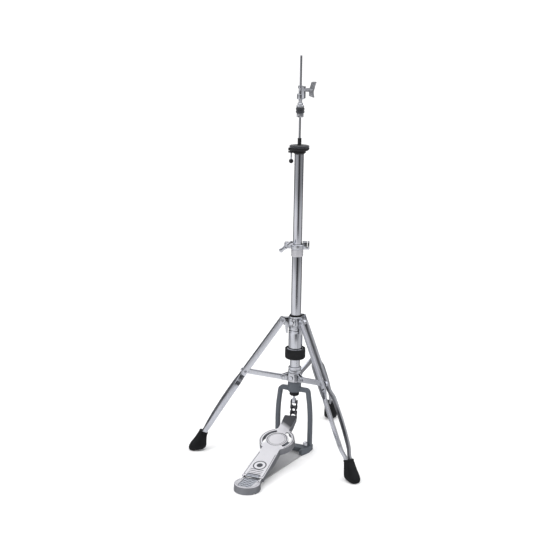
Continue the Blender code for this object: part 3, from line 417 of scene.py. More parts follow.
def steel_finish():
    mat = Finish("plain_steel")
    turned = mat.noise(900.0, rough=0.6)
    colour = mat.clouds(80.0, 3.0, [(0.3, (0.42, 0.43, 0.46)), (0.7, (0.60, 0.61, 0.64))])
    mat.surface(Base_Color=colour, Metallic=1.0, Roughness=mat.span(turned, to=(0.22, 0.38)))
    return mat.bump(turned, strength=0.12, distance=0.0002)


def recess_shade_finish():
    """Painted shade: dark colour for the bottom of the grooves, the pressed bands of the legs and
    the inward faces of the clutch spine.
    """
    mat = Finish("groove_shade")
    grain = mat.noise(800.0)
    colour = mat.ramp(grain, [(0.3, (0.035, 0.037, 0.045)), (0.7, (0.08, 0.083, 0.095))])
    mat.surface(Base_Color=colour, Metallic=0.2, Roughness=mat.span(grain, to=(0.45, 0.65)))
    return mat.bump(grain, strength=0.2, distance=0.0003)


FINISHES = {
    "chrome": chrome_finish(), "cast": cast_chrome_finish(), "leg": leg_finish(),
    "satin": satin_finish(
        "satin_silver", ((0.66, 0.655, 0.68), (0.76, 0.75, 0.775), (0.71, 0.705, 0.735)),
        streak=(0.84, 0.835, 0.855), metallic=0.82),
    # side and recess are painted shade for flanks, grooves and other shaded faces
    "side": flank_shade_finish(), "paint": paint_finish(), "plastic": plastic_finish(),
    "black_steel": black_steel_finish(), "rubber": rubber_finish(),
    "felt_grey": felt_finish("felt_dark_grey", (0.018, 0.019, 0.023), (0.050, 0.052, 0.059)),
    "felt_black": felt_finish("felt_black", (0.018, 0.019, 0.024), (0.055, 0.057, 0.066)),
    "plate": plate_finish(), "steel": steel_finish(), "recess": recess_shade_finish(),
    # the board finish paints shade on the raised toe
    "board": satin_finish(
        "satin_board", ((0.74, 0.725, 0.745), (0.83, 0.815, 0.835), (0.79, 0.775, 0.80)),
        streak=(0.88, 0.87, 0.885), metallic=0.78, shade=painted_toe_shade),
    "panel": panel_finish(), "cast_dark": dull_cast_finish(),
    # painted shade: darker copies of the leg plating for the channel insides and the flanges
    "leg_in": shaded_leg_finish("leg_inside", (0.15, 0.155, 0.17), (0.27, 0.275, 0.295)),
    "leg_far_shade": far_leg_shade_finish(),
    "leg_edge_shade": shaded_leg_finish("leg_flange_shade", (0.22, 0.225, 0.24), (0.36, 0.365, 0.385)),
}


# ---------------------------------------------------------------------------
# outlines and matrices
# ---------------------------------------------------------------------------
def arc(cx, cy, radius, start, end, steps):
    angles = [radians(start + (end - start) * i / steps) for i in range(steps + 1)]
    return [(cx + radius * cos(a), cy + radius * sin(a)) for a in angles]


def polygon(radius, count, start=0.0):
    return arc(0, 0, radius, start, start + 360, count)[:-1]


def rounded_rect(w, h, radius, steps):
    """Anticlockwise rounded rectangle of half sizes w, h."""
    points = []
    for sx, sy, start in ((1, 1, 0), (-1, 1, 90), (-1, -1, 180), (1, -1, 270)):
        points += arc(sx * (w - radius), sy * (h - radius), radius, start, start + 90, steps)
    return points


def superellipse(a, b, count, exponent):
    points = []
    for i in range(count):
        c, s = cos(2 * pi * i / count), sin(2 * pi * i / count)
        points.append((a * copysign(abs(c) ** (2 / exponent), c),
                       b * copysign(abs(s) ** (2 / exponent), s)))
    return points


def spline(points, per):
    """Smooth curve through the given tuples, with `per` steps between two of them."""
    # up to four values go through single precision vectors, longer stations stay as they are
    points = [Vector(p) if len(p) <= 4 else p for p in points]
    last = len(points) - 1
    out = []
    for i in range(last):
        around = points[max(i - 1, 0)], points[i], points[i + 1], points[min(i + 2, last)]
        for k in range(per):
            t = k / per
            out.append(tuple(0.5 * ((2 * b) + (-a + c) * t + (2 * a - 5 * b + 4 * c - d) * t * t
                                    + (-a + 3 * b - 3 * c + d) * t ** 3)
                             for a, b, c, d in zip(*around)))
    out.append(tuple(points[-1]))
    return out


def rounded(outline, radius):
    """Closed (r, z) outline with its corners rounded; points on the axis are kept."""
    steps = 3
    out = []
    for i, point in enumerate(outline):
        before, corner, after = (Vector(outline[i - 1]), Vector(point),
                                 Vector(outline[(i + 1) % len(outline)]))
        back, ahead = before - corner, after - corner
        back_len, ahead_len = back.length, ahead.length
        if point[0] <= 1e-6 or back_len < 1e-6 or ahead_len < 1e-6:
            out.append(tuple(point))
            continue
        back.normalize()
        ahead.normalize()
        angle = acos(max(-1.0, min(1.0, back.dot(ahead))))
        if angle > radians(165) or angle < radians(5):
            out.append(tuple(point))
            continue
        reach = min(radius / tan(angle / 2), 0.45 * back_len, 0.45 * ahead_len)
        start, end = corner + back * reach, corner + ahead * reach
        for k in range(steps + 1):
            s = k / steps
            q = start * (1 - s) ** 2 + corner * 2 * s * (1 - s) + end * s * s
            out.append((q.x, q.y))
    return out


def frame(origin, ex, ey, ez):
    """Matrix with the given origin and axes."""
    matrix = Matrix.Identity(4)
    for column, vector in enumerate((ex, ey, ez, origin)):
        for row in range(3):
            matrix[row][column] = vector[row]
    return matrix


def shift(x=0.0, y=0.0, z=0.0):
    return Matrix.Translation((x, y, z))


def turn(angle, axis="Z"):
    return Matrix.Rotation(radians(angle), 4, axis)


def radial(angle):
    """Local x = radius, local y = height, local z = tangent."""
    a = radians(angle)
    return frame((0, 0, 0), (cos(a), sin(a), 0), (0, 0, 1), (sin(a), -cos(a), 0))


def front_frame(z=0.0):
    """Local x = tangent, local y = height, local z = outward at the front angle."""
    a = radians(FRONT_ANGLE)
    return frame((0, 0, z), (-sin(a), cos(a), 0), (0, 0, 1), (cos(a), sin(a), 0))


def side_plane(x=0.0, y=0.0, z=0.0):
    """Turns local x, y, z onto Y, Z, X."""
    return frame((x, y, z), (0, 1, 0), (0, 0, 1), (1, 0, 0))


def in_plane(at, direction, z=0.0):
    """Local x along a direction of the XY plane."""
    dx, dy = direction
    return frame((at[0], at[1], z), (dx, dy, 0), (-dy, dx, 0), (0, 0, 1))


def along(point, direction):
    """Turns local +Z onto a level direction at a point."""
    ez = Vector(direction).normalized()
    ex = Vector((0, 0, 1)).cross(ez).normalized()
    return frame(point, ex, ez.cross(ex), ez)


# ---------------------------------------------------------------------------
# solids
# ---------------------------------------------------------------------------
def outward(body):
    bmesh.ops.recalc_face_normals(body, faces=body.faces[:])
    return body


def lathe(outline, seg=72, wave=None, rnd=0.4):
    """Solid of revolution about Z of a closed (r, z) outline; r = 0 is allowed.

    wave(row, i, radius) may change the radii; corners are rounded only without it.
    """
    if wave is None and rnd:
        outline = rounded(outline, rnd)
    body = bmesh.new()
    rings = []
    for row, (radius, z) in enumerate(outline):
        if radius <= 1e-6:
            rings.append([body.verts.new((0, 0, z))])
            continue
        ring_verts = []
        for i in range(seg):
            a = 2 * pi * i / seg
            r = wave(row, i, radius) if wave else radius
            ring_verts.append(body.verts.new((r * cos(a), r * sin(a), z)))
        rings.append(ring_verts)
    for here, after in zip(rings, rings[1:] + rings[:1]):
        if len(here) == 1 and len(after) == 1:
            continue
        for i in range(seg):
            j = (i + 1) % seg
            if len(here) == 1:
                body.faces.new((here[0], after[i], after[j]))
            elif len(after) == 1:
                body.faces.new((here[i], after[0], here[j]))
            else:
                body.faces.new((here[i], after[i], after[j], here[j]))
    return outward(body)


def knurl(depth, rows, period):
    """Wave that sinks two of every `period` points in some rows."""
    return lambda row, i, radius: radius - (depth if row in rows and i % period < 2 else 0.0)


def ring(inner, outer, z0, z1, seg=72, rnd=0.3):
    return lathe([(inner, z0), (outer, z0), (outer, z1), (inner, z1)], seg, rnd=rnd)


def disc(radius, z0, z1, seg=72, rnd=0.0):
    return lathe([(0, z0), (radius, z0), (radius, z1), (0, z1)], seg, rnd=rnd)


def same_point(p, q):
    return abs(p[0] - q[0]) + abs(p[1] - q[1]) <= 1e-4


def prism(outline, z0, z1, bevel=0.0, both=False, seg=3):
    """Extruded anticlockwise outline, its upper rim (or both rims) bevelled."""
    clean = []
    for point in outline:
        if not clean or not same_point(point, clean[-1]):
            clean.append(point)
    if same_point(clean[0], clean[-1]):
        clean.pop()
    body = bmesh.new()
    base = body.faces.new([body.verts.new((x, y, z0)) for x, y in clean])
    made = bmesh.ops.extrude_face_region(body, geom=[base])["geom"]
    bmesh.ops.translate(body, vec=(0, 0, z1 - z0),
                        verts=[g for g in made if isinstance(g, bmesh.types.BMVert)])
    outward(body)
    if bevel:
        levels = (z1, z0) if both else (z1,)
        rims = [e for e in body.edges
                if any(all(abs(v.co.z - z) < 1e-6 for v in e.verts) for z in levels)]
        bmesh.ops.bevel(body, geom=rims, offset=bevel, segments=seg, affect="EDGES",
                        profile=0.5, clamp_overlap=True)
    return body


def box(x0, x1, y0, y1, z0, z1, bevel=0.0):
    body = prism([(x0, y0), (x1, y0), (x1, y1), (x0, y1)], z0, z1)
    if bevel:
        bmesh.ops.bevel(body, geom=body.edges[:], offset=bevel, segments=3, affect="EDGES",
                        profile=0.5)
    return body


def loft(rows):
    """Capped solid through closed rows of points."""
    body = bmesh.new()
    rows = [[body.verts.new(point) for point in row] for row in rows]
    count = len(rows[0])
    for here, after in zip(rows, rows[1:]):
        for k in range(count):
            j = (k + 1) % count
            body.faces.new((here[k], here[j], after[j], after[k]))
    body.faces.new(rows[0][::-1])
    body.faces.new(rows[-1])
    return outward(body)


def neighbours(items, i):
    return items[max(i - 1, 0)], items[min(i + 1, len(items) - 1)]


def sweep(path, up, section):
    """Solid along a path; section(i) gives the closed outline at station i."""
    rows = []
    for i, point in enumerate(path):
        before, after = neighbours(path, i)
        tangent = (Vector(after) - Vector(before)).normalized()
        side = Vector(up)
        side = (side - tangent * side.dot(tangent)).normalized()
        across = tangent.cross(side)
        rows.append([Vector(point) + side * a + across * b for a, b in section(i)])
    return loft(rows)


def place(body, matrix):
    bmesh.ops.transform(body, matrix=matrix, verts=body.verts[:])
    if matrix.determinant() < 0:
        bmesh.ops.reverse_faces(body, faces=body.faces[:])
    return body


def to_mesh(body, name="m"):
    mesh = bpy.data.meshes.new(name)
    body.to_mesh(mesh)
    body.free()
    return mesh


def combine(base, others, operation):
    """Exact boolean of bmeshes, applied; returns a new bmesh."""
    scene_objects = bpy.context.scene.collection.objects
    work = bpy.data.objects.new("work", to_mesh(base))
    scene_objects.link(work)
    cutters = []
    for other in others:
        cutter = bpy.data.objects.new("cutter", to_mesh(other))
        scene_objects.link(cutter)
        cutters.append(cutter)
        modifier = work.modifiers.new("b", "BOOLEAN")
        modifier.operation = operation
        modifier.solver = "EXACT"
        modifier.object = cutter
    depsgraph = bpy.context.evaluated_depsgraph_get()
    depsgraph.update()
    result = bpy.data.meshes.new_from_object(work.evaluated_get(depsgraph))
    for obj in cutters + [work]:
        bpy.data.objects.remove(obj, do_unlink=True)
    body = bmesh.new()
    body.from_mesh(result)
    bmesh.ops.remove_doubles(body, verts=body.verts[:], dist=0.0005)
    bmesh.ops.dissolve_degenerate(body, dist=0.0005, edges=body.edges[:])
    return body


def union(base, *others):
    return combine(base, others, "UNION")


def cut(base, *others):
    return combine(base, others, "DIFFERENCE")


def add_threads(body, root, crest, half, start, pitch, count):
    """Adds V-shaped rings to the same mesh without a boolean."""
    turns = []
    for j in range(count):
        z = start + pitch * j
        turns.append(lathe([(root, z), (crest, z + half), (root, z + 2 * half)], rnd=0))
    for one in turns:
        mesh = to_mesh(one)
        body.from_mesh(mesh)
        bpy.data.meshes.remove(mesh)
    return body


def hex_head(radius, z0, z1, socket=0.0):
    """Hexagon head with a domed chamfer, a small washer face and maybe a hexagon socket."""
    rim = radius * 1.02
    dome = lathe([(0, z0 - 1), (rim, z0 - 1), (rim, z1 - 1.0), (radius * 0.84, z1 + 0.02),
                  (0, z1 + 0.02)], rnd=0)
    head = combine(prism(polygon(radius, 6), z0 + 0.5, z1), [dome], "INTERSECT")
    head = union(head, disc(radius * 0.93, z0, z0 + 0.7, rnd=0.15))
    if socket:
        head = cut(head, prism(polygon(socket, 6, start=30), z1 - 2.0, z1 + 1))
    return head


def head_and_nut(radius, height, offset, socket):
    """Hexagon head at +offset on Z and a nut without a socket at -offset."""
    head = place(hex_head(radius, 0, height, socket), shift(z=offset))
    nut = place(hex_head(radius, 0, height), shift(z=offset))
    return head, place(nut, turn(180, "X"))


def piece(name, body, finish, split=35, paint=None):
    """A visible piece that stands for its CAD node and rides on that node's body.

    paint is (further finishes, pick); pick(centre, normal) gives the slot of a face.
    """
    bmesh.ops.triangulate(body, faces=[f for f in body.faces if len(f.verts) > 4])
    outward(body)
    bmesh.ops.scale(body, vec=(MM, MM, MM), verts=body.verts[:])
    mesh = to_mesh(body, name + "_look")
    obj = bpy.data.objects.new(name + "_look", mesh)
    bpy.context.scene.collection.objects.link(obj)
    mesh.materials.append(FINISHES[finish])
    if paint:
        further, pick = paint
        for key in further:
            mesh.materials.append(FINISHES[key])
        for face in mesh.polygons:
            face.material_index = pick(face.center / MM, face.normal)
    mesh.shade_smooth()
    mesh.set_sharp_from_angle(angle=radians(split))
    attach(obj, NODES[name]["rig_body"])
    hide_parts(name)


# ---------------------------------------------------------------------------
# column
# ---------------------------------------------------------------------------
def slot_cutter(z1, reach):
    """Upright slot with round ends, cut through along X."""
    outline = arc(0, z1 - SLOT_HALF, SLOT_HALF, 0, 180, 16) + \
        arc(0, SLOT_Z0 + SLOT_HALF, SLOT_HALF, 180, 360, 16)
    return place(prism(outline, -reach, reach), side_plane())


def build_column():
    lower = ring(LOWER_INNER_R, LOWER_R, LOWER_Z0, LOWER_Z1, 96, rnd=0.4)
    piece("lower_tube", cut(lower, slot_cutter(300, 20)), "chrome")

    r, z0, z1 = HOUSING_R, HOUSING_Z0, HOUSING_Z1
    housing = lathe([(LOWER_BORE, z0), (r - 0.8, z0), (r, z0 + 1), (r, 348.4), (r - 0.9, 349.4),
                     (r - 0.9, 350.2), (r, 351.2), (r, 354.8), (r - 1.2, z1), (LOWER_BORE, z1)],
                    96)
    housing = union(housing, ring(r - 1.0, 23.0, 300.4, 301.8, 96))
    piece("spring_housing", cut(housing, slot_cutter(337, 25)), "chrome")

    piece("tube_collar", lathe([
        (LOWER_BORE, 569), (16.1, 569), (16.8, 571.4), (16.8, 574.6), (16.2, 575.4),
        (16.2, 577.0), (16.8, 577.8), (16.8, 586.4), (16.0, 588.7), (UPPER_BORE, 588.7),
        (UPPER_BORE, 575.4), (LOWER_BORE, 575.4)], 96), "satin")


def clamp_frame():
    """Axis of the wing screw, square to the split ear of the height clamp."""
    a, b = radians(CLAMP_ANGLE), radians(CLAMP_ANGLE + 90)
    centre = (CLAMP_SCREW_R * cos(a), CLAMP_SCREW_R * sin(a), CLAMP_SCREW_Z)
    return along(centre, (cos(b), sin(b), 0))


def build_height_clamp():
    """Ring with a split ear for the screw and a slotted block on the other side."""
    band = lathe([(UPPER_BORE, 589), (17.0, 589), (18.0, 590.4), (18.0, 601.2), (16.9, 603),
                  (14.6, 603), (UPPER_BORE, 601.8)], 96)
    to_block, to_ear = turn(CLAMP_BLOCK_ANGLE), turn(CLAMP_ANGLE)
    block = place(box(14.5, 33.5, -7.5, 7.5, 589, 611, 1.6), to_block)
    ear = place(box(14.5, 36, -8, 8, 591, 608, 2.4), to_ear)
    ear_slit = place(box(10, 40, -1.0, 1.0, 585, 612), to_ear)
    block_slot = place(box(26.8, 28.4, -9, 9, 593.0, 612), to_block)
    bore = place(disc(3.2, -12, 12), clamp_frame())
    piece("height_clamp", cut(union(band, block, ear), ear_slit, block_slot, bore,
                              disc(UPPER_BORE, 580, 620, 96)), "cast")


def build_height_wing_screw():
    """Waisted bar with rounded ends, on a boss with a socket in its middle."""
    length, steps, around = 47.0, 40, 20
    rows = []
    for i in range(steps + 1):
        s = -1 + 2 * i / steps
        end = max(0.0, (abs(s) - 0.80) / 0.20)
        width = 6.2 - 1.3 * exp(-((abs(s) - 0.45) / 0.22) ** 2)
        width = max(width * sqrt(max(0.0, 1 - end ** 2.2)), 0.4)
        height = 2.0 - 0.3 * end
        row = []
        for k in range(around):
            a = 2 * pi * k / around
            row.append((s * length / 2, width * cos(a),
                        20.7 + height * copysign(abs(sin(a)) ** 0.7, sin(a))))
        rows.append(row)
    boss = lathe([(0, 8.4), (5.8, 8.4), (6.2, 9.2), (5.4, 14.0), (5.8, 18.0), (6.1, 19.0),
                  (6.1, 23.4), (5.3, 24.4), (2.6, 24.4), (2.6, 23.0), (0, 23.0)])
    screw = union(loft(rows), boss, disc(2.9, -11, 10.0, rnd=0.4))
    piece("height_wing_screw", place(screw, clamp_frame() @ turn(38)), "chrome", split=50)


# ---------------------------------------------------------------------------
# tension unit
# ---------------------------------------------------------------------------
def build_tension():
    r, z0, z1 = RING_R, RING_Z0, RING_Z1
    outline = [(20.3, z0), (25.9, z0), (26.8, z0 + 0.5), (r - 0.5, z0 + 3.0), (r, z0 + 4.2),
               (r, z1 - 4.4), (r - 0.9, z1 - 3.8), (r - 0.9, z1 - 3.2), (r, z1 - 2.6),
               (r, z1 - 1.4), (r - 0.5, z1 - 0.4), (r - 1.5, z1), (26.3, z1), (25.8, z1 - 0.5),
               (25.8, 300), (20.3, 300), (20.3, 295.4), (25.2, 295.4), (25.2, 278.8),
               (20.3, 278.8)]
    piece("tension_ring", lathe(outline, 240, knurl(0.95, rows=(4, 5), period=4)), "plastic",
          split=40)

    washer = ring(4.0, 12.4, CARRIER_Z0, CARRIER_Z1)
    bar = box(-24.6, 24.6, -3.0, 3.0, CARRIER_Z0 + 0.8, CARRIER_Z1 - 0.8, 0.5)
    piece("spring_carrier", cut(union(washer, bar), disc(4.0, 270, 300)), "black_steel")

    steps = SPRING_TURNS * SPRING_STEPS
    z0, z1 = SPRING_Z0 + WIRE_R, SPRING_Z1 - WIRE_R
    path = []
    for i in range(steps + 1):
        a = 2 * pi * i / SPRING_STEPS
        path.append((COIL_R * cos(a), COIL_R * sin(a), z0 + (z1 - z0) * i / steps))
    piece("return_spring", sweep(path, (0, 0, 1), lambda i: polygon(WIRE_R, 12)), "steel")


# ---------------------------------------------------------------------------
# tripod
# ---------------------------------------------------------------------------
def leg_stations():
    """Centre line (radius, height, half width, depth) from the pivot to the foot."""
    run = (RIVET[0] - LEG_PIN[0], RIVET[1] - LEG_PIN[1])
    length = hypot(*run)
    start = tuple(p - d / length * 8 for p, d in zip(LEG_PIN, run))
    top, bow, low = LEG_HALF_TOP, LEG_HALF_BOW, LEG_HALF_FOOT
    deep, shallow = LEG_DEPTH, LEG_DEPTH_FOOT
    return [(*start, top, deep), (*LEG_PIN, top, deep), (*RIVET, top, deep),
            (150.0, 223.6, top, deep), (155.5, 215.2, top + 1.8, deep),
            (162.5, 204.8, bow - 1.4, deep), (168.5, 196.0, bow, deep),
            (186.0, 169.8, bow + 0.5, deep - 0.1), (207.0, 137.2, bow + 0.4, deep - 0.4),
            (228.0, 103.0, bow - 0.8, deep - 1.1), (241.0, 81.0, bow - 2.6, deep - 1.7),
            (246.5, 71.5, bow - 5.0, deep - 2.0), (252.0, 62.0, low + 0.3, shallow),
            (256.5, 54.0, low, shallow), (262.5, 43.0, low, shallow)]


def channel(half):
    """Bent sheet channel outline (p across, q inward) with rounded bends."""
    outer, inner, lip = 1.0, 0.4, 0.3       # bend radii and the chamfer of the flange rims
    web = half - SHEET
    points = arc(-half + outer, outer, outer, 180, 270, 5)
    points += arc(half - outer, outer, outer, 270, 360, 5)
    points += [(half, FLANGE - lip), (half - lip, FLANGE), (web + lip, FLANGE),
               (web, FLANGE - lip)]
    points += arc(web - inner, SHEET + inner, inner, 0, -90, 3)
    points += arc(-web + inner, SHEET + inner, inner, 270, 180, 3)
    return points + [(-web, FLANGE - lip), (-web - lip, FLANGE), (-half + lip, FLANGE),
                     (-half, FLANGE - lip)]


def leg_strip(angle, side):
    """One of the two mirrored channels of a leg; side is 1 or -1."""
    raw = leg_stations()
    straight = [tuple(a + (b - a) * t for a, b in zip(raw[1], raw[2])) for t in (0.5, 0.93)]
    stations = raw[:2] + straight + spline(raw[2:], 5)
    stations[-1] = raw[-1]
    rows = []
    for i, (r, z, half, depth) in enumerate(stations):
        before, after = neighbours(stations, i)
        tangent = Vector((after[0] - before[0], after[1] - before[1])).normalized()
        rows.append([(r - tangent.y * p, z + tangent.x * p, side * (half - q))
                     for p, q in channel(depth / 2)])
    holes = [place(disc(3.0, -20, 20), shift(*LEG_PIN)),
             place(disc(2.9, -20, 20), shift(*RIVET))]
    # rounded upper end of the strip
    run = (Vector(RIVET) - Vector(LEG_PIN)).normalized()
    rim = [(-20, -12), (0, -12)] + arc(0, 0, 7.6, -90, -270, 20) + [(0, 12), (-20, 12)]
    cuts = holes + [place(prism(rim[::-1], -30, 30), in_plane(LEG_PIN, run))]
    # shallow pressed bands across the web where the strips flare
    low, high = (-4.6, 8.0) if side > 0 else (-8.0, 4.6)
    for r, z, reach, half in BANDS:
        band = box(-reach, reach, -BAND_HALF, BAND_HALF, low, high)
        cuts.append(place(band, in_plane((r, z), BAND_DIR, side * (half + 4.0))))
    return place(cut(loft(rows), *cuts), radial(angle))


def leg_paint(angle, side):
    """Slots of a strip: 0 web outside, 1 channel inside, 2 bent flanges, 3 pressed bands; slots 1
    to 3 take painted shade.
    """
    inverse = radial(angle).inverted()
    dx, dy = BAND_DIR

    def pick(centre, normal):
        q = inverse @ centre
        out = (inverse.to_3x3() @ normal).z * side
        if out < -0.35:
            return 1
        if out < 0.6:
            return 2
        for r, z, reach, _ in BANDS:
            x, y = q.x - r, q.y - z
            if abs(x * dx + y * dy) < reach + 0.1 and abs(x * dy - y * dx) < BAND_HALF:
                return 3
        return 0
    return pick


def foot_mesh(angle):
    sections = spline(FOOT_SECTIONS, 5)
    rows = []
    for i, (z, r, a, b, tilt, exponent) in enumerate(sections):
        t = radians(tilt)
        shrink = 0.0
        # tread grooves around the sole, a groove below the top and a drawn-in top rim
        if 3.4 < z < 5.0 or 8.4 < z < 9.6 or i == len(sections) - 1:
            shrink = 0.9
        if 47.5 < z < 50.5:
            shrink = 0.7
        rows.append([(r + x * cos(t), max(0.0, z + x * sin(t)), y)
                     for x, y in superellipse(a - 0.5 - shrink, b - 0.5 - shrink, 72, exponent)])
    # loft rows are (radius, height, tangent); the socket takes the end of the leg
    before, end = leg_stations()[-2:]
    run = Vector((end[0] - before[0], end[1] - before[1], 0)).normalized()
    bottom = Vector((end[0], end[1], 0)) + run * 0.6
    socket = place(prism(rounded_rect(6.8, 10.7, 1.2, 5), 0, 40),
                   frame(bottom, (-run.y, run.x, 0), (0, 0, 1), -run))
    return place(cut(loft(rows), socket), radial(angle))


def rivet_mesh(angle):
    """Rivet with a domed head on both sides."""
    head, half = 4.2, LEG_HALF_TOP + 0.25
    dome = [(0, half + 1.9), (head * 0.45, half + 1.7), (head * 0.8, half + 1.1),
            (head, half + 0.3), (head, half)]
    outline = [(r, -z) for r, z in dome] + [(2.5, -half), (2.5, half)] + dome[::-1]
    return place(lathe(outline, rnd=0.12), radial(angle) @ shift(*RIVET))


def pivot_bolt(angle):
    """Bolt at the upper end of a leg: hexagon head on one side, nut on the other."""
    half = LEG_HALF_TOP + 0.25
    bolt = union(disc(2.5, -half - 0.2, half + 0.2), *head_and_nut(4.6, 1.6, half, 1.9))
    return place(bolt, radial(angle) @ shift(*LEG_PIN))


def brace_mesh(angle):
    """Flat brace with a round hole at the hub and a slot at the rivet."""
    run = Vector(RIVET) - Vector(BRACE_PIN)
    length = run.length
    run.normalize()
    half, slot_half = 7.7, 4.03
    outline = arc(length + 5.5, 0, half, -70, 70, 16) + arc(0, 0, half, 90, 270, 24)
    slot = arc(length + 2.5, 0, slot_half, -90, 90, 16) + \
        arc(length - 7.0, 0, slot_half, 90, 270, 16)
    brace = cut(prism(outline, -2.6, 2.6, 0.7, both=True), disc(2.75, -5, 5), prism(slot, -5, 5))
    return place(brace, radial(angle) @ in_plane(BRACE_PIN, run))


def front_screw(name, height, shank, head_r, head):
    """Screw at the front of a hub; shank and head are (start, end) outward."""
    screw = union(disc(2.6, *shank, rnd=0.3), hex_head(head_r, *head, 2.2))
    piece(name, place(screw, front_frame(height)), "chrome")


def build_leg_hub():
    hub = lathe([(LOWER_BORE, 357), (19.0, 357), (19.6, 358), (19.6, 363), (18.4, 364.5),
                 (18.4, 368), (20.4, 370), (20.4, 394), (19.4, 396.7), (LOWER_BORE, 396.7)], 96)
    ear = [(16, 364), (22, 364), (22.4, 347.5), (27.6, 347.5), (29.5, 368)] + \
        arc(*LEG_PIN, 8.4, -60, 100, 24) + [(26, 393.6), (16, 394.0)]
    ears = [place(prism(ear, -4.3, 4.3, 0.8, both=True), radial(a)) for _, a in LEGS]
    boss = place(box(-9, 9, 373, 391, 0, 24.5, 1.8), front_frame())
    cuts = [disc(LOWER_BORE, 340, 404, 96)]
    cuts += [place(disc(2.75, -8, 8), radial(a) @ shift(*LEG_PIN)) for _, a in LEGS]
    cuts.append(place(box(-0.9, 0.9, 364, 402, 10, 30), front_frame()))
    cuts.append(place(disc(2.9, 16, 30), front_frame(LEG_SCREW_Z)))
    piece("leg_hub", cut(union(hub, *ears, boss), *cuts), "cast")
    piece("hub_gasket", lathe([
        (LOWER_BORE, 397.0), (16.8, 397.0), (17.4, 397.8), (17.4, 399.6), (16.8, 400.7),
        (15.8, 401.2), (LOWER_BORE, 401.2)], 96), "rubber")
    front_screw("leg_hub_screw", LEG_SCREW_Z, (17.5, 25.4), 5.2, (24.9, 29.6))


def build_brace_hub():
    hub = lathe([(LOWER_BORE, 203.6), (18.4, 203.6), (19.2, 204.6), (19.2, 236), (17.0, 237.5),
                 (17.0, 239.5), (18.6, 240.8), (18.6, 246), (17.8, 247.2), (LOWER_BORE, 247.2)],
                96)
    fork = [(16, 206)] + arc(*BRACE_PIN, 8.0, -80, 80, 24) + [(16, 231)]
    fork_gap = [(19.6, 198), (45, 198), (45, 236), (19.6, 236)]
    forks, cuts, pins = [], [], []
    for _, angle in LEGS:
        forks.append(place(prism(fork, -6.2, 6.2, 0.9, both=True), radial(angle)))
        cuts.append(place(prism(fork_gap, -2.95, 2.95), radial(angle)))
        for part in (disc(2.5, -6.4, 6.4), *head_and_nut(4.0, 2.1, 6.1, 1.5)):
            pins.append(place(part, radial(angle) @ shift(*BRACE_PIN)))
    plate = place(box(-10, 10, 206, 231, 12, 23.0, 1.5), front_frame())
    cuts.append(disc(LOWER_BORE, 190, 250, 96))
    cuts.append(place(disc(2.9, 17, 30), front_frame(BRACE_SCREW_Z)))
    piece("brace_hub", union(cut(union(hub, *forks, plate), *cuts), *pins), "cast")
    front_screw("brace_hub_screw", BRACE_SCREW_Z, (18.5, 23.8), 5.0, (23.4, 27.2))


def build_legs():
    for name, angle in LEGS:
        # the channel insides and flanges take painted shade, darker on the right leg
        inside = "leg_far_shade" if name == "right" else "leg_in"
        for tag, side in (("a", 1), ("b", -1)):
            piece("leg_%s_strip_%s" % (name, tag), leg_strip(angle, side), "leg", split=30,
                  paint=((inside, "leg_edge_shade", "recess"), leg_paint(angle, side)))
        piece("leg_%s_foot" % name, foot_mesh(angle), "rubber", split=42)
        piece("leg_%s_rivet" % name, rivet_mesh(angle), "steel")
        piece("leg_%s_pin" % name, pivot_bolt(angle), "steel")
        piece("brace_%s" % name, brace_mesh(angle), "leg", split=30)


# ---------------------------------------------------------------------------
# pedal frame and floor plates
# ---------------------------------------------------------------------------
def build_pedal_frame():
    """Collar on the column with two arms down to block feet, joined by a low bar."""
    collar = lathe([(LOWER_BORE, 174), (17.4, 174), (19.3, 178.5), (19.3, 200.6),
                    (18.4, 203.2), (LOWER_BORE, 203.2)], 96)
    arm = [(16, 0, 180.6), (26, 0, 181.0), (36.5, 0, 180.8), (40.8, 0, 178.6), (42.8, 0, 174.0),
           (44.4, 0.2, 162), (47.4, 0.4, 138), (49.6, 0.8, 106), (50.0, 1.2, 70),
           (49.8, 1.6, 36), (49.6, 2.0, 10)]
    foot = [(36.5, -45.0), (45.4, -47.5), (55.8, -16.0), (55.8, 13.0), (42.0, 13.0),
            (36.5, -2.0)]

    def section(i):
        return rounded_rect(7.2, 5.7 if i > 18 else 6.1 - 0.4 * i / 18, 2.0, 6)
    parts = []
    for side in (1, -1):
        path = spline([(side * x, y, z) for x, y, z in arm], 6)
        parts.append(sweep(path, (0, 1, 0), section))
        outline = [(side * x, y) for x, y in foot][::side]
        parts.append(prism(outline, 0, 16.5, 2.4))
    parts.append(box(-44, 44, -27, -1, 3.3, 15.5, 1.6))
    cuts = [disc(LOWER_BORE, 160, 205, 96)]
    cuts += [place(disc(3.2, -5, 25), shift(side * SPUR_X, SPUR_Y)) for side in (1, -1)]
    piece("pedal_frame", cut(union(collar, *parts), *cuts), "paint")
    piece("frame_bush", lathe([
        (ROD_BORE, 161.8), (12.0, 161.8), (12.9, 162.8), (14.0, 164.4), (14.0, 167.2),
        (13.5, 167.8), (13.5, 168.6), (14.0, 169.2), (14.0, 173.4), (14.2, 173.4),
        (14.2, 176.8), (ROD_BORE, 176.8)], 96), "plastic")


def build_spur_screws():
    """Pointed screws with knurled heads through the feet of the pedal frame."""
    for name, side in (("right", 1), ("left", -1)):
        shank = lathe([(0, 0.8), (0.8, 0.8), (2.9, 5.0), (2.9, 20.0), (0, 20.0)])
        head = lathe([(0, 19.6), (4.6, 19.6), (5.6, 20.2), (6.0, 21.2), (6.0, 28.0),
                      (5.6, 29.0), (4.4, 29.6), (0, 29.6)], 96, knurl(0.45, (3, 4), 4))
        screw = add_threads(union(shank, head), root=2.2, crest=3.15, half=0.5, start=17.2,
                            pitch=1.15, count=2)
        piece("spur_screw_%s" % name, place(screw, shift(side * SPUR_X, SPUR_Y)), "chrome",
              split=40)


def hinge_disc(radius, half, rnd=0.0):
    """Round body on the axis of the heel hinge."""
    return place(disc(radius, -half, half, rnd=rnd), side_plane(y=HINGE_Y, z=HINGE_Z))


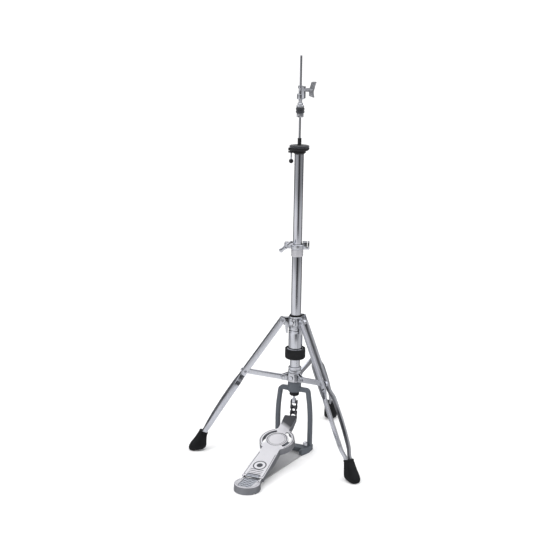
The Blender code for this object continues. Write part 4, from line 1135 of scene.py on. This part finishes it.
def build_base_plate():
    """Tongue that widens from the heel to a cross plate under the column."""
    heel_half, cross_half = (14.7 + (y + 266.0) * 0.1393 for y in (-262.0, -49.0))
    piece("base_plate", prism([
        (-14.0, -338.0), (14.0, -338.0), (heel_half, -262.0), (cross_half, -49.0),
        (36.0, -49.0), (36.0, 8.0), (-36.0, 8.0), (-36.0, -49.0), (-cross_half, -49.0),
        (-heel_half, -262.0)], 0.0, 3.0, 0.6), "plate")


def heel_outline(inset=0.0):
    x, y = 31.5 - inset, -301.5 - inset
    return [(-x, y)] + arc(0, HEEL_C, HEEL_R - inset, 176, 364, 72) + [(x, y)]


def wave_cut(v, half, z0, z1, width, amplitude, periods):
    """Wavy groove across X at the place v."""
    low, high = [], []
    steps = 60
    for i in range(steps + 1):
        x = -half + 2 * half * i / steps
        y = v + amplitude * sin(2 * pi * periods * i / steps)
        low.append((x, y - width / 2))
        high.append((x, y + width / 2))
    return prism(low + high[::-1], z0, z1)


def heel_paint(centre, normal):
    """Slots: 0 upper face, 1 flanks, 2 grooves, 3 sunken panel; flanks and grooves take painted
    shade.
    """
    if normal.z > 0.5 and centre.z > 18.0:
        if centre.z < HEEL_H - 1.2 and centre.y < -290.0:
            return 2
        if centre.z < HEEL_H - 0.5 and abs(centre.x) < 21 and centre.y > -346.0:
            return 3
    return 0 if normal.z > 0.75 else 1


def build_heel_plate():
    top = HEEL_H
    heel = union(prism(heel_outline(), 0.0, top, 1.8, seg=4),
                 box(-23.6, 23.6, -303.5, -288.6, 13.4, top, 0.6),
                 hinge_disc(5.4, 19.5, rnd=0.4),
                 box(-19.5, 19.5, -300, HINGE_Y, HINGE_Z - 5.0, HINGE_Z + 1.5))
    border = cut(prism(heel_outline(4.6), top - 0.6, top + 2),
                 prism(heel_outline(5.8), top - 2, top + 3))
    # sunken panel with a deeper frame and five wavy grooves
    y0 = -291.0
    panel = [(-19.6, y0), (-18.6, -338.0), (-15.0, -345.5), (15.0, -345.5), (18.6, -338.0),
             (19.6, y0)]
    inside = [(x * 0.905, y0 + (y - y0) * 0.955 - 1.6) for x, y in panel]
    cuts = [prism(heel_outline(4.0), -1.0, 12.0), box(-30.0, 30.0, -340, -290, -1, 3.4),
            hinge_disc(HINGE_BORE, 40), border, prism(panel, top - 0.7, top + 2),
            cut(prism(panel, top - 1.6, top + 2), prism(inside, top - 3, top + 3))]
    for k in range(5):
        cuts.append(wave_cut(-299.0 - 10.2 * k, 15.6 if k < 4 else 13.4, top - 1.7, top + 1,
                             width=3.4, amplitude=1.5, periods=2.0))
    piece("heel_plate", cut(heel, *cuts), "satin",
          paint=(("side", "recess", "panel"), heel_paint))
    piece("heel_hinge_pin", hinge_disc(2.55, 27.6, rnd=0.5), "steel")


# ---------------------------------------------------------------------------
# footboard, made flat with the hinge at the origin
# ---------------------------------------------------------------------------
def board_matrix():
    return shift(0, HINGE_Y, HINGE_Z) @ turn(BOARD_TILT, "X")


def toe_rise(v):
    return TOE_LIFT * max(0.0, (v - TOE_BEND_V) / (BOARD_LEN - TOE_BEND_V)) ** 2


def board_outline(inset=0.0, v0=7.5):
    """Anticlockwise outline of the footboard in (u, v)."""
    radius, neck, corner = ROUND_R - inset, 17.0 - inset, 5
    right = [(30.8 - inset, v0 + inset), (29.6 - inset, 60.0)]
    right += arc(0, DISC_V, radius, -degrees(acos((26.0 - inset) / radius)), 66.0, 48)
    # neck: widening, v
    right += [(neck + du, v) for du, v in (
        (0.4, 226.0), (0.1, 231.0), (0.0, 236.0), (0.0, 242.0), (0.2, 248.0), (0.5, 254.0),
        (0.8, 260.0), (1.1, 265.0), (1.4, 270.0))]
    right += arc(neck + 1.5 - corner, BOARD_LEN - inset - corner, corner, 0, 90, 10)
    return right + [(-x, y) for x, y in reversed(right)]


def arc_slot(start, end):
    """Slot around the board's disc with nearly round ends."""
    r0, r1 = ARC_SLOT_R0, ARC_SLOT_R1
    middle, half = (r0 + r1) / 2, (r1 - r0) / 2

    def cap(angle, first, last):
        a = radians(angle)
        return arc(middle * cos(a), middle * sin(a), half, first, last, 8)
    points = arc(0, 0, r1, start, end, 40) + cap(end, end + 20, end + 160) + \
        arc(0, 0, r0, end, start, 40) + cap(start, start - 160, start - 20)
    return [(x, y + DISC_V) for x, y in points]


def bend_toe(body):
    """Bends the toe upwards, after dividing its long edges."""
    edges = [e for e in body.edges if max(v.co.y for v in e.verts) > TOE_BEND_V
             and abs(e.verts[0].co.y - e.verts[1].co.y) > 8]
    if edges:
        bmesh.ops.subdivide_edges(body, edges=edges, cuts=6)
    for vert in body.verts:
        vert.co.z += toe_rise(vert.co.y)
    return body


def board_shell():
    """Hollow board with a skirt and two hinge ears."""
    # the skirt is shallow at the heel and at the toe, deep in between
    under = place(prism([(-2.0, -20.0), (300.0, -20.0), (300.0, -6.0), (272.0, -6.0),
                         (252.0, -12.4), (90.0, -13.2), (40.0, -6.0), (-2.0, -6.0)], -60, 60),
                  side_plane())
    ear = arc(0, 0, 5.8, 90, 270, 24) + [(14.0, -5.3), (14.0, 5.0)]
    ears = [place(prism(ear, -1.7, 1.7), side_plane(x=side * 26.0)) for side in (1, -1)]
    shell = cut(prism(board_outline(), -13.0, BOARD_TOP, 1.1, seg=4),
                prism(board_outline(3.0, v0=1.0), -16.0, 2.6), under)
    return union(shell, *ears)


def footboard_mesh():
    top = BOARD_TOP
    to_disc, to_inlay = shift(y=DISC_V), shift(y=INLAY_V)
    cuts = [prism(arc_slot(118, 212), -15, 12), prism(arc_slot(-38, 62), -15, 12),
            place(disc(DISC_R, top - 1.6, top + 3, 96), to_disc),
            place(disc(HINGE_BORE, -40, 40), side_plane()),
            place(ring(15.4, 18.6, top - 1.0, top + 1, 96, rnd=0), to_inlay),
            place(disc(8.4, top - 1.0, top + 1), to_inlay)]
    # straight cross grooves: v, width
    for v, width in ((39.0, 2.2), (31.8, 2.2), (24.6, 1.8), (18.4, 3.4)):
        cuts.append(box(-19.0, 19.0, v - width / 2, v + width / 2, top - 0.9, top + 1))
    # waved panel at the heel end between two side grooves
    cuts.append(box(-17.6, 17.6, 4.0, 16.9, top - 0.35, top + 1))
    for x in (-18.2, 18.2):
        cuts.append(box(x - 0.8, x + 0.8, 9.0, 17.5, top - 0.9, top + 1))
    cuts.append(wave_cut(12.6, 16.4, top - 0.95, top + 1, width=1.5, amplitude=0.8,
                         periods=2.5))
    # grooves around the disc and on the rim
    cuts.append(place(ring(26.4, 28.8, top - 1.2, top + 1, 120, rnd=0), to_disc))
    for start, end in ((-45.3, 60.7), (119.3, 225.3)):
        band = arc(0, DISC_V, 47.3, start, end, 61) + arc(0, DISC_V, 45.5, end, start, 61)
        cuts.append(prism(band, top - 0.9, top + 1.13))
    # fine border groove that follows the outline
    cuts.append(cut(prism(board_outline(3.0, v0=9.5), top - 0.6, top + 1),
                    prism(board_outline(4.5, v0=9.5), top - 2, top + 2),
                    place(disc(70, top - 3, top + 3), to_disc)))
    return place(bend_toe(cut(board_shell(), *cuts)), board_matrix())


def build_footboard():
    top = BOARD_TOP
    inverse = board_matrix().inverted()

    def board_paint(centre, normal):
        """Slots: 0 upper face, 1 flanks, 2 grooves, 3 panel at the heel; flanks and grooves take
        painted shade.
        """
        q = inverse @ centre
        up = (inverse.to_3x3() @ normal).z
        if up > 0.5 and 3.0 < q.z < top + toe_rise(q.y) - 0.5 and q.y > 8:
            return 2
        if up > 0.75 and q.y < 17.0 and abs(q.x) < 17.7 and q.z < top - 0.2:
            return 3
        return 0 if up > 0.75 else 1

    def disc_paint(centre, normal):
        """Slots: 0 disc, 1 its ring groove, which takes painted shade."""
        q = inverse @ centre
        return 1 if DISC_R - 4.3 < hypot(q.x, q.y - DISC_V) < DISC_R - 3.3 else 0
    piece("footboard", footboard_mesh(), "board",
          paint=(("side", "recess", "panel"), board_paint))
    r = DISC_R
    inset = lathe([(0, top - 1.3), (r - 0.5, top - 1.3), (r - 0.3, top - 0.9),
                   (r - 0.3, top - 0.2), (r - 1.4, top + 0.35), (r - 3.0, top + 0.35),
                   (r - 3.4, top + 0.0), (r - 4.2, top + 0.0), (r - 4.6, top + 0.35),
                   (8.0, top + 0.55), (0, top + 0.6)], 96, rnd=0.15)
    inset = place(place(inset, shift(y=DISC_V)), board_matrix())
    piece("footboard_disc", inset, "board", split=25, paint=(("recess",), disc_paint))


def build_chain_anchor():
    """Hook under the toe of the board that holds the lower end of the chain."""
    end = board_matrix().inverted() @ Vector((0, *CHAIN_END))
    outline = [(246.0, -0.5), (262.0, -3.0), (280.0, -8.6)] + \
        arc(end.y, end.z, 6.4, -90, 60, 20) + \
        [(284.2, -0.4), (279.4, -0.4), (279.2, 5.0), (270.0, 5.0), (262.0, 4.2), (246.0, 2.6)]
    hook = place(prism(outline, -4.6, 4.6, 0.6, both=True), side_plane())
    hole = place(disc(3.5, -10, 10), side_plane(y=end.y, z=end.z))
    piece("chain_anchor", place(cut(hook, hole), board_matrix()), "black_steel")


# ---------------------------------------------------------------------------
# pull rod and chain
# ---------------------------------------------------------------------------
def build_pull_rod():
    """Rod with a flange on the spring and an eye at the lower end."""
    z, flange = CHAIN_TOP_Z, SPRING_Z1 + GAP
    rod = lathe([(0, z + 7.5), (ROD_R, z + 7.5), (ROD_R, flange), (10.6, flange),
                 (10.6, SPRING_Z1 + 4.3), (ROD_R, SPRING_Z1 + 4.3), (ROD_R, ROD_TOP - 0.8),
                 (ROD_R - 0.8, ROD_TOP), (0, ROD_TOP)], rnd=0.25)
    eye = arc(0, z, 5.2, 180, 360, 24) + arc(0, z + 7.6, 3.6, 0, 180, 20)
    eye = place(prism(eye, -5.0, 5.0, 0.7, both=True), side_plane())
    hole = place(disc(2.5, -10, 10), side_plane(z=z))
    piece("pull_rod", cut(union(rod, eye), hole), "chrome")


def chain_point(k):
    y, z = CHAIN_END
    return Vector((y * k / LINK_COUNT, CHAIN_TOP_Z + (z - CHAIN_TOP_Z) * k / LINK_COUNT))


def link_mesh(k):
    """Outer links have pins, inner links bored rollers."""
    outer = k % 2 == 0
    start = chain_point(k)
    run = chain_point(k + 1) - start
    length = run.length
    run.normalize()
    matrix = frame((0, start.x, start.y), (0, run.x, run.y), (0, -run.y, run.x), (1, 0, 0))
    r = 6.6 if outer else 6.8
    waist, middle = 4.3, length / 2
    outline = arc(0, 0, r, 60, 300, 30) + \
        [(middle - 1.5, -waist - 0.15), (middle, -waist), (middle + 1.5, -waist - 0.15)] + \
        arc(length, 0, r, -120, 120, 30) + \
        [(middle + 1.5, waist + 0.15), (middle, waist), (middle - 1.5, waist + 0.15)]
    x0, x1 = (7.5, 9.2) if outer else (5.2, 7.0)
    plates = [prism(outline, low, high, 0.35, both=True) for low, high in ((x0, x1), (-x1, -x0))]
    radius, half, rnd = (2.2, 9.9, 0.4) if outer else (5.0, 6.0, 0.0)
    pins = [place(disc(radius, -half, half, rnd=rnd), shift(x=x)) for x in (0, length)]
    link = union(pins[0], *plates, pins[1])
    if not outer:
        link = cut(link, *[place(disc(2.55, -12, 12), shift(x=x)) for x in (0, length)])
    return place(link, matrix)


# ---------------------------------------------------------------------------
# seat and clutch
# ---------------------------------------------------------------------------
def felt_disc(r, bore, z0, z1, seed=0.0):
    """Pressed felt washer: crowned faces, soft edge and an uneven rim."""
    seg = 160
    crown = r * 0.55 + bore * 0.45
    lower = [(bore, 0.5), (bore + 0.6, 0.05), (crown, 0), (r - 1.6, 0.15), (r - 0.6, 0.6),
             (r - 0.1, 1.5)]
    outline = [(x, z0 + dz) for x, dz in lower] + [(r, (z0 + z1) / 2)] + \
        [(x, z1 - dz) for x, dz in reversed(lower)]

    def rough(row, i, radius):
        a = 2 * pi * i / seg
        if radius < bore + 0.1:
            return radius
        wobble = 0.10 * sin(23 * a + seed + row) + 0.08 * sin(57 * a + 2.1 * row + seed) + \
            0.05 * sin(101 * a + 0.7 * row)
        return radius - 0.23 + wobble
    return lathe(outline, seg, rough)


def build_seat():
    piece("upper_tube", ring(UPPER_INNER_R, UPPER_R, UPPER_Z0, UPPER_Z1, 96, rnd=0.4), "chrome")
    at_tilt = shift(x=TILT_X)
    rest = UPPER_Z1 + GAP
    base = lathe([(ROD_BORE, 839), (10.6, 839), (10.9, 840), (10.9, rest), (13.2, rest),
                  (13.4, 855), (15.2, 855.2), (18.0, 858.0), (18.0, 860.0), (ROD_BORE, 860.0)],
                 96)
    ear = box(-30.4, -12.0, -6.6, 6.6, 855.6, 860.0, 1.0)
    piece("seat_base", cut(union(base, ear), place(disc(2.55, 840, 870), at_tilt),
                           disc(ROD_BORE, 820, 870)), "plastic")
    piece("seat_sleeve", ring(ROD_SNUG_BORE, 5.2, 860.3, 896.6, rnd=0.6), "plastic")
    cup = lathe([(7.6, 862.0), (20.0, 862.0), (23.0, 863.0), (25.6, 864.8), (27.4, 868.0),
                 (27.4, 869.7), (7.6, 869.7)], 96)
    lug = box(-30.6, -15.0, -6.8, 6.8, 861.4, 869.4, 1.5)
    piece("seat_cup", union(cup, lug), "plastic")
    piece("seat_felt", felt_disc(27.2, 7.6, 870.0, 877.2), "felt_grey", split=70)
    piece("tilt_screw", place(disc(2.25, 836.8, 861.0, rnd=0.4), at_tilt), "chrome")
    ball = arc(0, 832.5, 6.2, -90, 60, 40)
    knob = [(0, ball[0][1])] + ball[1:] + [(2.6, ball[-1][1]), (2.6, 836.5), (0, 836.5)]
    piece("tilt_knob", place(lathe(knob, rnd=0), at_tilt), "plastic")


def clutch_paint(centre, normal):
    """Slots: 0 body, 1 inward faces of the spine, which take painted shade."""
    inward = 1003.5 < centre.z < 1035.0 and 6.1 < centre.x < 8.9 and normal.x < -0.2
    return 1 if inward else 0


def build_clutch_body():
    """Threaded tube with two collars, a spine beside them and a boss for the wing screw."""
    bore = ROD_SNUG_BORE
    screw_axis = along((0, 0, CLUTCH_SCREW_Z), (1, 0, 0))
    stem = lathe([(bore, 952.4), (4.8, 952.4), (4.8, 1001.0), (9.0, 1001.0), (9.5, 1002.2),
                  (9.5, 1014.2), (8.7, 1015.4), (5.0, 1015.4), (5.0, 1029.0), (6.6, 1029.6),
                  (7.0, 1030.4), (7.0, 1036.2), (6.3, 1037.0), (bore, 1037.0)], 96)
    spine = place(prism(rounded_rect(4.4, 6.4, 2.0, 6), 1003.0, 1035.4, 1.0, both=True),
                  shift(x=8.4))
    boss = place(disc(5.0, 3.5, 16.0, rnd=0.9), screw_axis)
    body = cut(union(stem, spine, boss), disc(bore, 940, 1050),
               place(disc(2.7, 3.45, 30), screw_axis))
    body = add_threads(body, root=4.0, crest=4.95, half=0.45, start=992.0, pitch=1.0, count=9)
    piece("clutch_body", body, "cast", paint=(("recess",), clutch_paint))


def build_clutch_nuts():
    """The two felts and the knurled nuts above and below them."""
    piece("clutch_felt_upper", felt_disc(11.9, 5.1, 971.5, 979.0, seed=1.3), "felt_black",
          split=70)
    piece("clutch_felt_lower", felt_disc(11.9, 5.1, 963.6, 971.2, seed=4.0), "felt_black",
          split=70)
    lock = lathe([(5.1, 979.4), (9.0, 979.4), (9.9, 979.9), (10.4, 980.6), (10.4, 983.4),
                  (9.9, 984.2), (9.0, 985.0), (7.4, 985.8), (7.2, 986.3), (7.2, 990.8),
                  (6.6, 991.6), (5.1, 991.6)], 120, knurl(0.5, (3, 4), 5))
    piece("clutch_lock_nut", lock, "cast", split=40)
    bottom = lathe([(5.1, 953.0), (8.5, 953.0), (9.0, 953.4), (9.3, 954.2), (9.3, 962.0),
                    (9.0, 962.8), (8.5, 963.2), (5.1, 963.2)], 120, knurl(0.45, (3, 4), 5))
    bottom = cut(bottom, box(-2.0, 2.0, -15, 15, 950, 956.8))
    piece("clutch_bottom_nut", bottom, "cast", split=40)


def build_clutch_wing_screw():
    # wing outline: distance from the rod, height over the screw axis
    points = [(24.9, -16.0), (31.0, -17.6), (39.4, -19.6), (38.2, -13.0), (37.6, -6.0),
              (38.2, -1.0), (40.2, 5.0), (42.0, 13.0), (45.0, 21.6), (41.0, 22.6), (31.4, 21.0),
              (28.8, 13.0), (26.4, 6.0), (25.2, 0.0), (24.7, -8.0)]
    outline = [(min(max(x, 24.7), 45.0), min(max(y, -19.6), 22.6))
               for x, y in spline(points + points[:1], 5)[:-1]]
    wing = place(prism(outline, -1.8, 1.8, 0.8, both=True),
                 frame((0, 0, CLUTCH_SCREW_Z), (1, 0, 0), (0, 0, 1), (0, -1, 0)))
    shank = lathe([(0, 5.6), (2.4, 5.6), (2.4, 16.6), (5.2, 16.6), (5.2, 24.6), (4.6, 25.6),
                   (4.6, 26.6), (5.6, 28.0), (5.4, 35.6), (4.2, 37.0), (0, 37.0)])
    shank = place(shank, along((0, 0, CLUTCH_SCREW_Z), (1, 0, 0)))
    piece("clutch_wing_screw", union(wing, shank), "cast_dark")


build_column()
build_height_clamp()
build_height_wing_screw()
build_tension()
build_leg_hub()
build_brace_hub()
build_legs()
build_pedal_frame()
build_spur_screws()
build_base_plate()
build_heel_plate()
build_footboard()
build_chain_anchor()
build_pull_rod()
for link_index in range(LINK_COUNT):
    piece("chain_link_%d" % (link_index + 1), link_mesh(link_index), "black_steel")
build_seat()
build_clutch_body()
build_clutch_nuts()
build_clutch_wing_screw()


# ---------------------------------------------------------------------------
# floor, light and camera (metres)
# ---------------------------------------------------------------------------
def build_floor():
    """Pale floor that curves up far behind the stand and glows at its far end."""
    profile = [(-9.0, 0.0), (14.0, 0.0)]
    profile += [(14.0 + 4.0 * sin(radians(a)), 4.0 - 4.0 * cos(radians(a)))
                for a in range(10, 91, 10)]
    profile += [(18.0, 9.0)]
    body = bmesh.new()
    # just below z = 0, so that it stays clear of the feet
    left, right = [[body.verts.new((x, y, z - 0.0005)) for y, z in profile]
                   for x in (-18.0, 18.0)]
    for i in range(len(profile) - 1):
        body.faces.new((left[i], right[i], right[i + 1], left[i + 1]))
    mesh = to_mesh(body, "sweep")
    floor = bpy.data.objects.new("floor", mesh)
    bpy.context.scene.collection.objects.link(floor)
    floor.rotation_euler = (0, 0, AZIMUTH)
    mesh.shade_smooth()

    mat = Finish("pale_floor")
    colour = mat.clouds(1.2, 3.0, [(0.3, (0.90, 0.90, 0.905)), (0.7, (0.92, 0.92, 0.925))])
    place_xyz = mat.xyz()
    squares = [mat.calc("MULTIPLY", place_xyz[axis], place_xyz[axis]) for axis in "XY"]
    distance = mat.calc("POWER", mat.calc("ADD", *squares), 0.5)
    mat.surface(Base_Color=colour, Roughness=0.9, Specular_IOR_Level=0.1,
                Emission_Color=(1.0, 1.0, 1.0),
                Emission_Strength=mat.span(distance, to=(0.0, 0.16), over=(1.3, 4.5)))
    mesh.materials.append(mat.material)
    floor.visible_glossy = False


# brightness of the studio walls: (degrees right of the camera, value)
WALL_UPPER = [
    (-180, 0.12), (-150, 0.12), (-138, 0.10), (-118, 0.14), (-100, 0.72), (-70, 0.80),
    (-38, 0.74), (-16, 0.50), (-4, 0.06), (20, 0.04), (30, 0.30), (50, 0.46), (84, 0.52),
    (104, 0.30), (118, 0.12), (138, 0.12), (152, 0.12), (180, 0.12)]
WALL_LOWER = [
    (-180, 0.30), (-152, 0.28), (-138, 0.20), (-122, 0.36), (-92, 0.56), (-62, 0.72),
    (-34, 0.76), (-6, 0.72), (22, 0.68), (48, 0.56), (76, 0.52), (104, 0.42), (122, 0.24),
    (138, 0.18), (152, 0.28), (180, 0.30)]


def build_world():
    """Even white for light and camera, softboxes and dark flags for reflections."""
    world = bpy.data.worlds.new("studio")
    bpy.context.scene.world = world
    world.use_nodes = True
    world.node_tree.nodes.clear()
    graph = Graph(world.node_tree)
    output = graph.node("OutputWorld")
    turned = graph.node("VectorRotate", {"rotation_type": "Z_AXIS"}, Angle=-AZIMUTH,
                        Vector=graph.node("TexCoord").outputs["Generated"])
    ray = graph.node("SeparateXYZ", Vector=turned.outputs["Vector"]).outputs
    height = ray["Z"]

    def step(start, end, to=(0.0, 1.0)):
        return graph.span(height, to=to, over=(start, end), smooth=True)

    def below(angle):
        """Height of a ray that many degrees below the horizon."""
        return -sin(radians(angle))

    # azimuth from the camera, positive to its right, as 0..1
    forward = graph.calc("MULTIPLY", ray["Y"], -1.0)
    azimuth = graph.calc("ARCTAN2", ray["X"], forward)
    azimuth = graph.calc("MULTIPLY_ADD", azimuth, 0.5 / pi, 0.5)
    upper, lower = (
        graph.ramp(azimuth, [(deg / 360.0 + 0.5, (v * 0.985, v * 0.99, v * 1.03))
                             for deg, v in stops])
        for stops in (WALL_UPPER, WALL_LOWER))
    colour = graph.mix(step(below(13.8), below(12.0)), lower, upper)
    # the wall gets darker towards the height of the lens
    fade = step(below(8.0), below(3.5), to=(1.0, 0.48))
    colour = graph.mix(1.0, colour, fade, "MULTIPLY")
    # overhead softbox with a darker zenith
    softbox = graph.mix(step(0.86, 0.95), (1.0, 1.01, 1.06), (0.30, 0.30, 0.32))
    colour = graph.mix(step(0.18, 0.55), colour, softbox)
    # floor close to the stand, seen from below surfaces
    colour = graph.mix(step(-0.35, -0.75), colour, (0.60, 0.60, 0.62))

    def background(**inputs):
        return graph.node("Background", **inputs).outputs[0]

    white = (1.0, 1.0, 1.0)
    path = graph.node("LightPath").outputs
    shader = graph.ordered("MixShader", None, path["Is Glossy Ray"],
                           background(Color=white, Strength=1.02), background(Color=colour))
    shader = graph.ordered("MixShader", None, path["Is Camera Ray"], shader,
                           background(Color=white))
    graph.feed(output.inputs["Surface"], shader)


def area_light(name, location, target, size, power):
    light = bpy.data.lights.new(name, "AREA")
    light.shape = "RECTANGLE"
    light.size, light.size_y = size
    light.energy = power
    obj = bpy.data.objects.new(name, light)
    bpy.context.scene.collection.objects.link(obj)
    obj.location = location
    aim = Vector(target) - Vector(location)
    obj.rotation_euler = aim.to_track_quat("-Z", "Y").to_euler()
    obj.visible_glossy = False
    obj.visible_camera = False


def build_lights():
    """Key on the camera's left, fill on its right, and a light overhead."""
    right = Vector((cos(AZIMUTH), sin(AZIMUTH), 0))
    near = Vector((sin(AZIMUTH), -cos(AZIMUTH), 0))
    area_light("key", -right * 2.2 + near * 1.6 + Vector((0, 0, 2.6)), target=(0, 0, 0.4),
               size=(2.2, 2.2), power=42)
    area_light("fill", right * 2.6 + near * 1.2 + Vector((0, 0, 1.8)), target=(0, 0, 0.5),
               size=(1.8, 2.4), power=14)
    area_light("top", (0, 0, 3.4), target=(0, 0, 0), size=(3.0, 3.0), power=30)


def build_camera():
    distance, aside, target_z = 3.13281645, -0.01726959, 0.51297862
    back = Vector((sin(AZIMUTH) * cos(ELEVATION), -cos(AZIMUTH) * cos(ELEVATION),
                   sin(ELEVATION)))
    right = Vector((cos(AZIMUTH), sin(AZIMUTH), 0))
    up = back.cross(right)
    camera = bpy.data.cameras.new("camera")
    camera.sensor_width = 36.0
    camera.lens = 73.4972982545
    camera.shift_x = -0.0282990109091
    camera.shift_y = 0.000834476363636
    obj = bpy.data.objects.new("camera", camera)
    bpy.context.scene.collection.objects.link(obj)
    obj.matrix_world = frame(Vector((0, 0, target_z)) + right * aside + back * distance,
                             right * cos(ROLL) + up * sin(ROLL),
                             -right * sin(ROLL) + up * cos(ROLL), back)
    bpy.context.scene.camera = obj


build_floor()
build_world()
build_lights()
build_camera()
view = bpy.context.scene.view_settings
view.view_transform = "Standard"
view.look = "None"
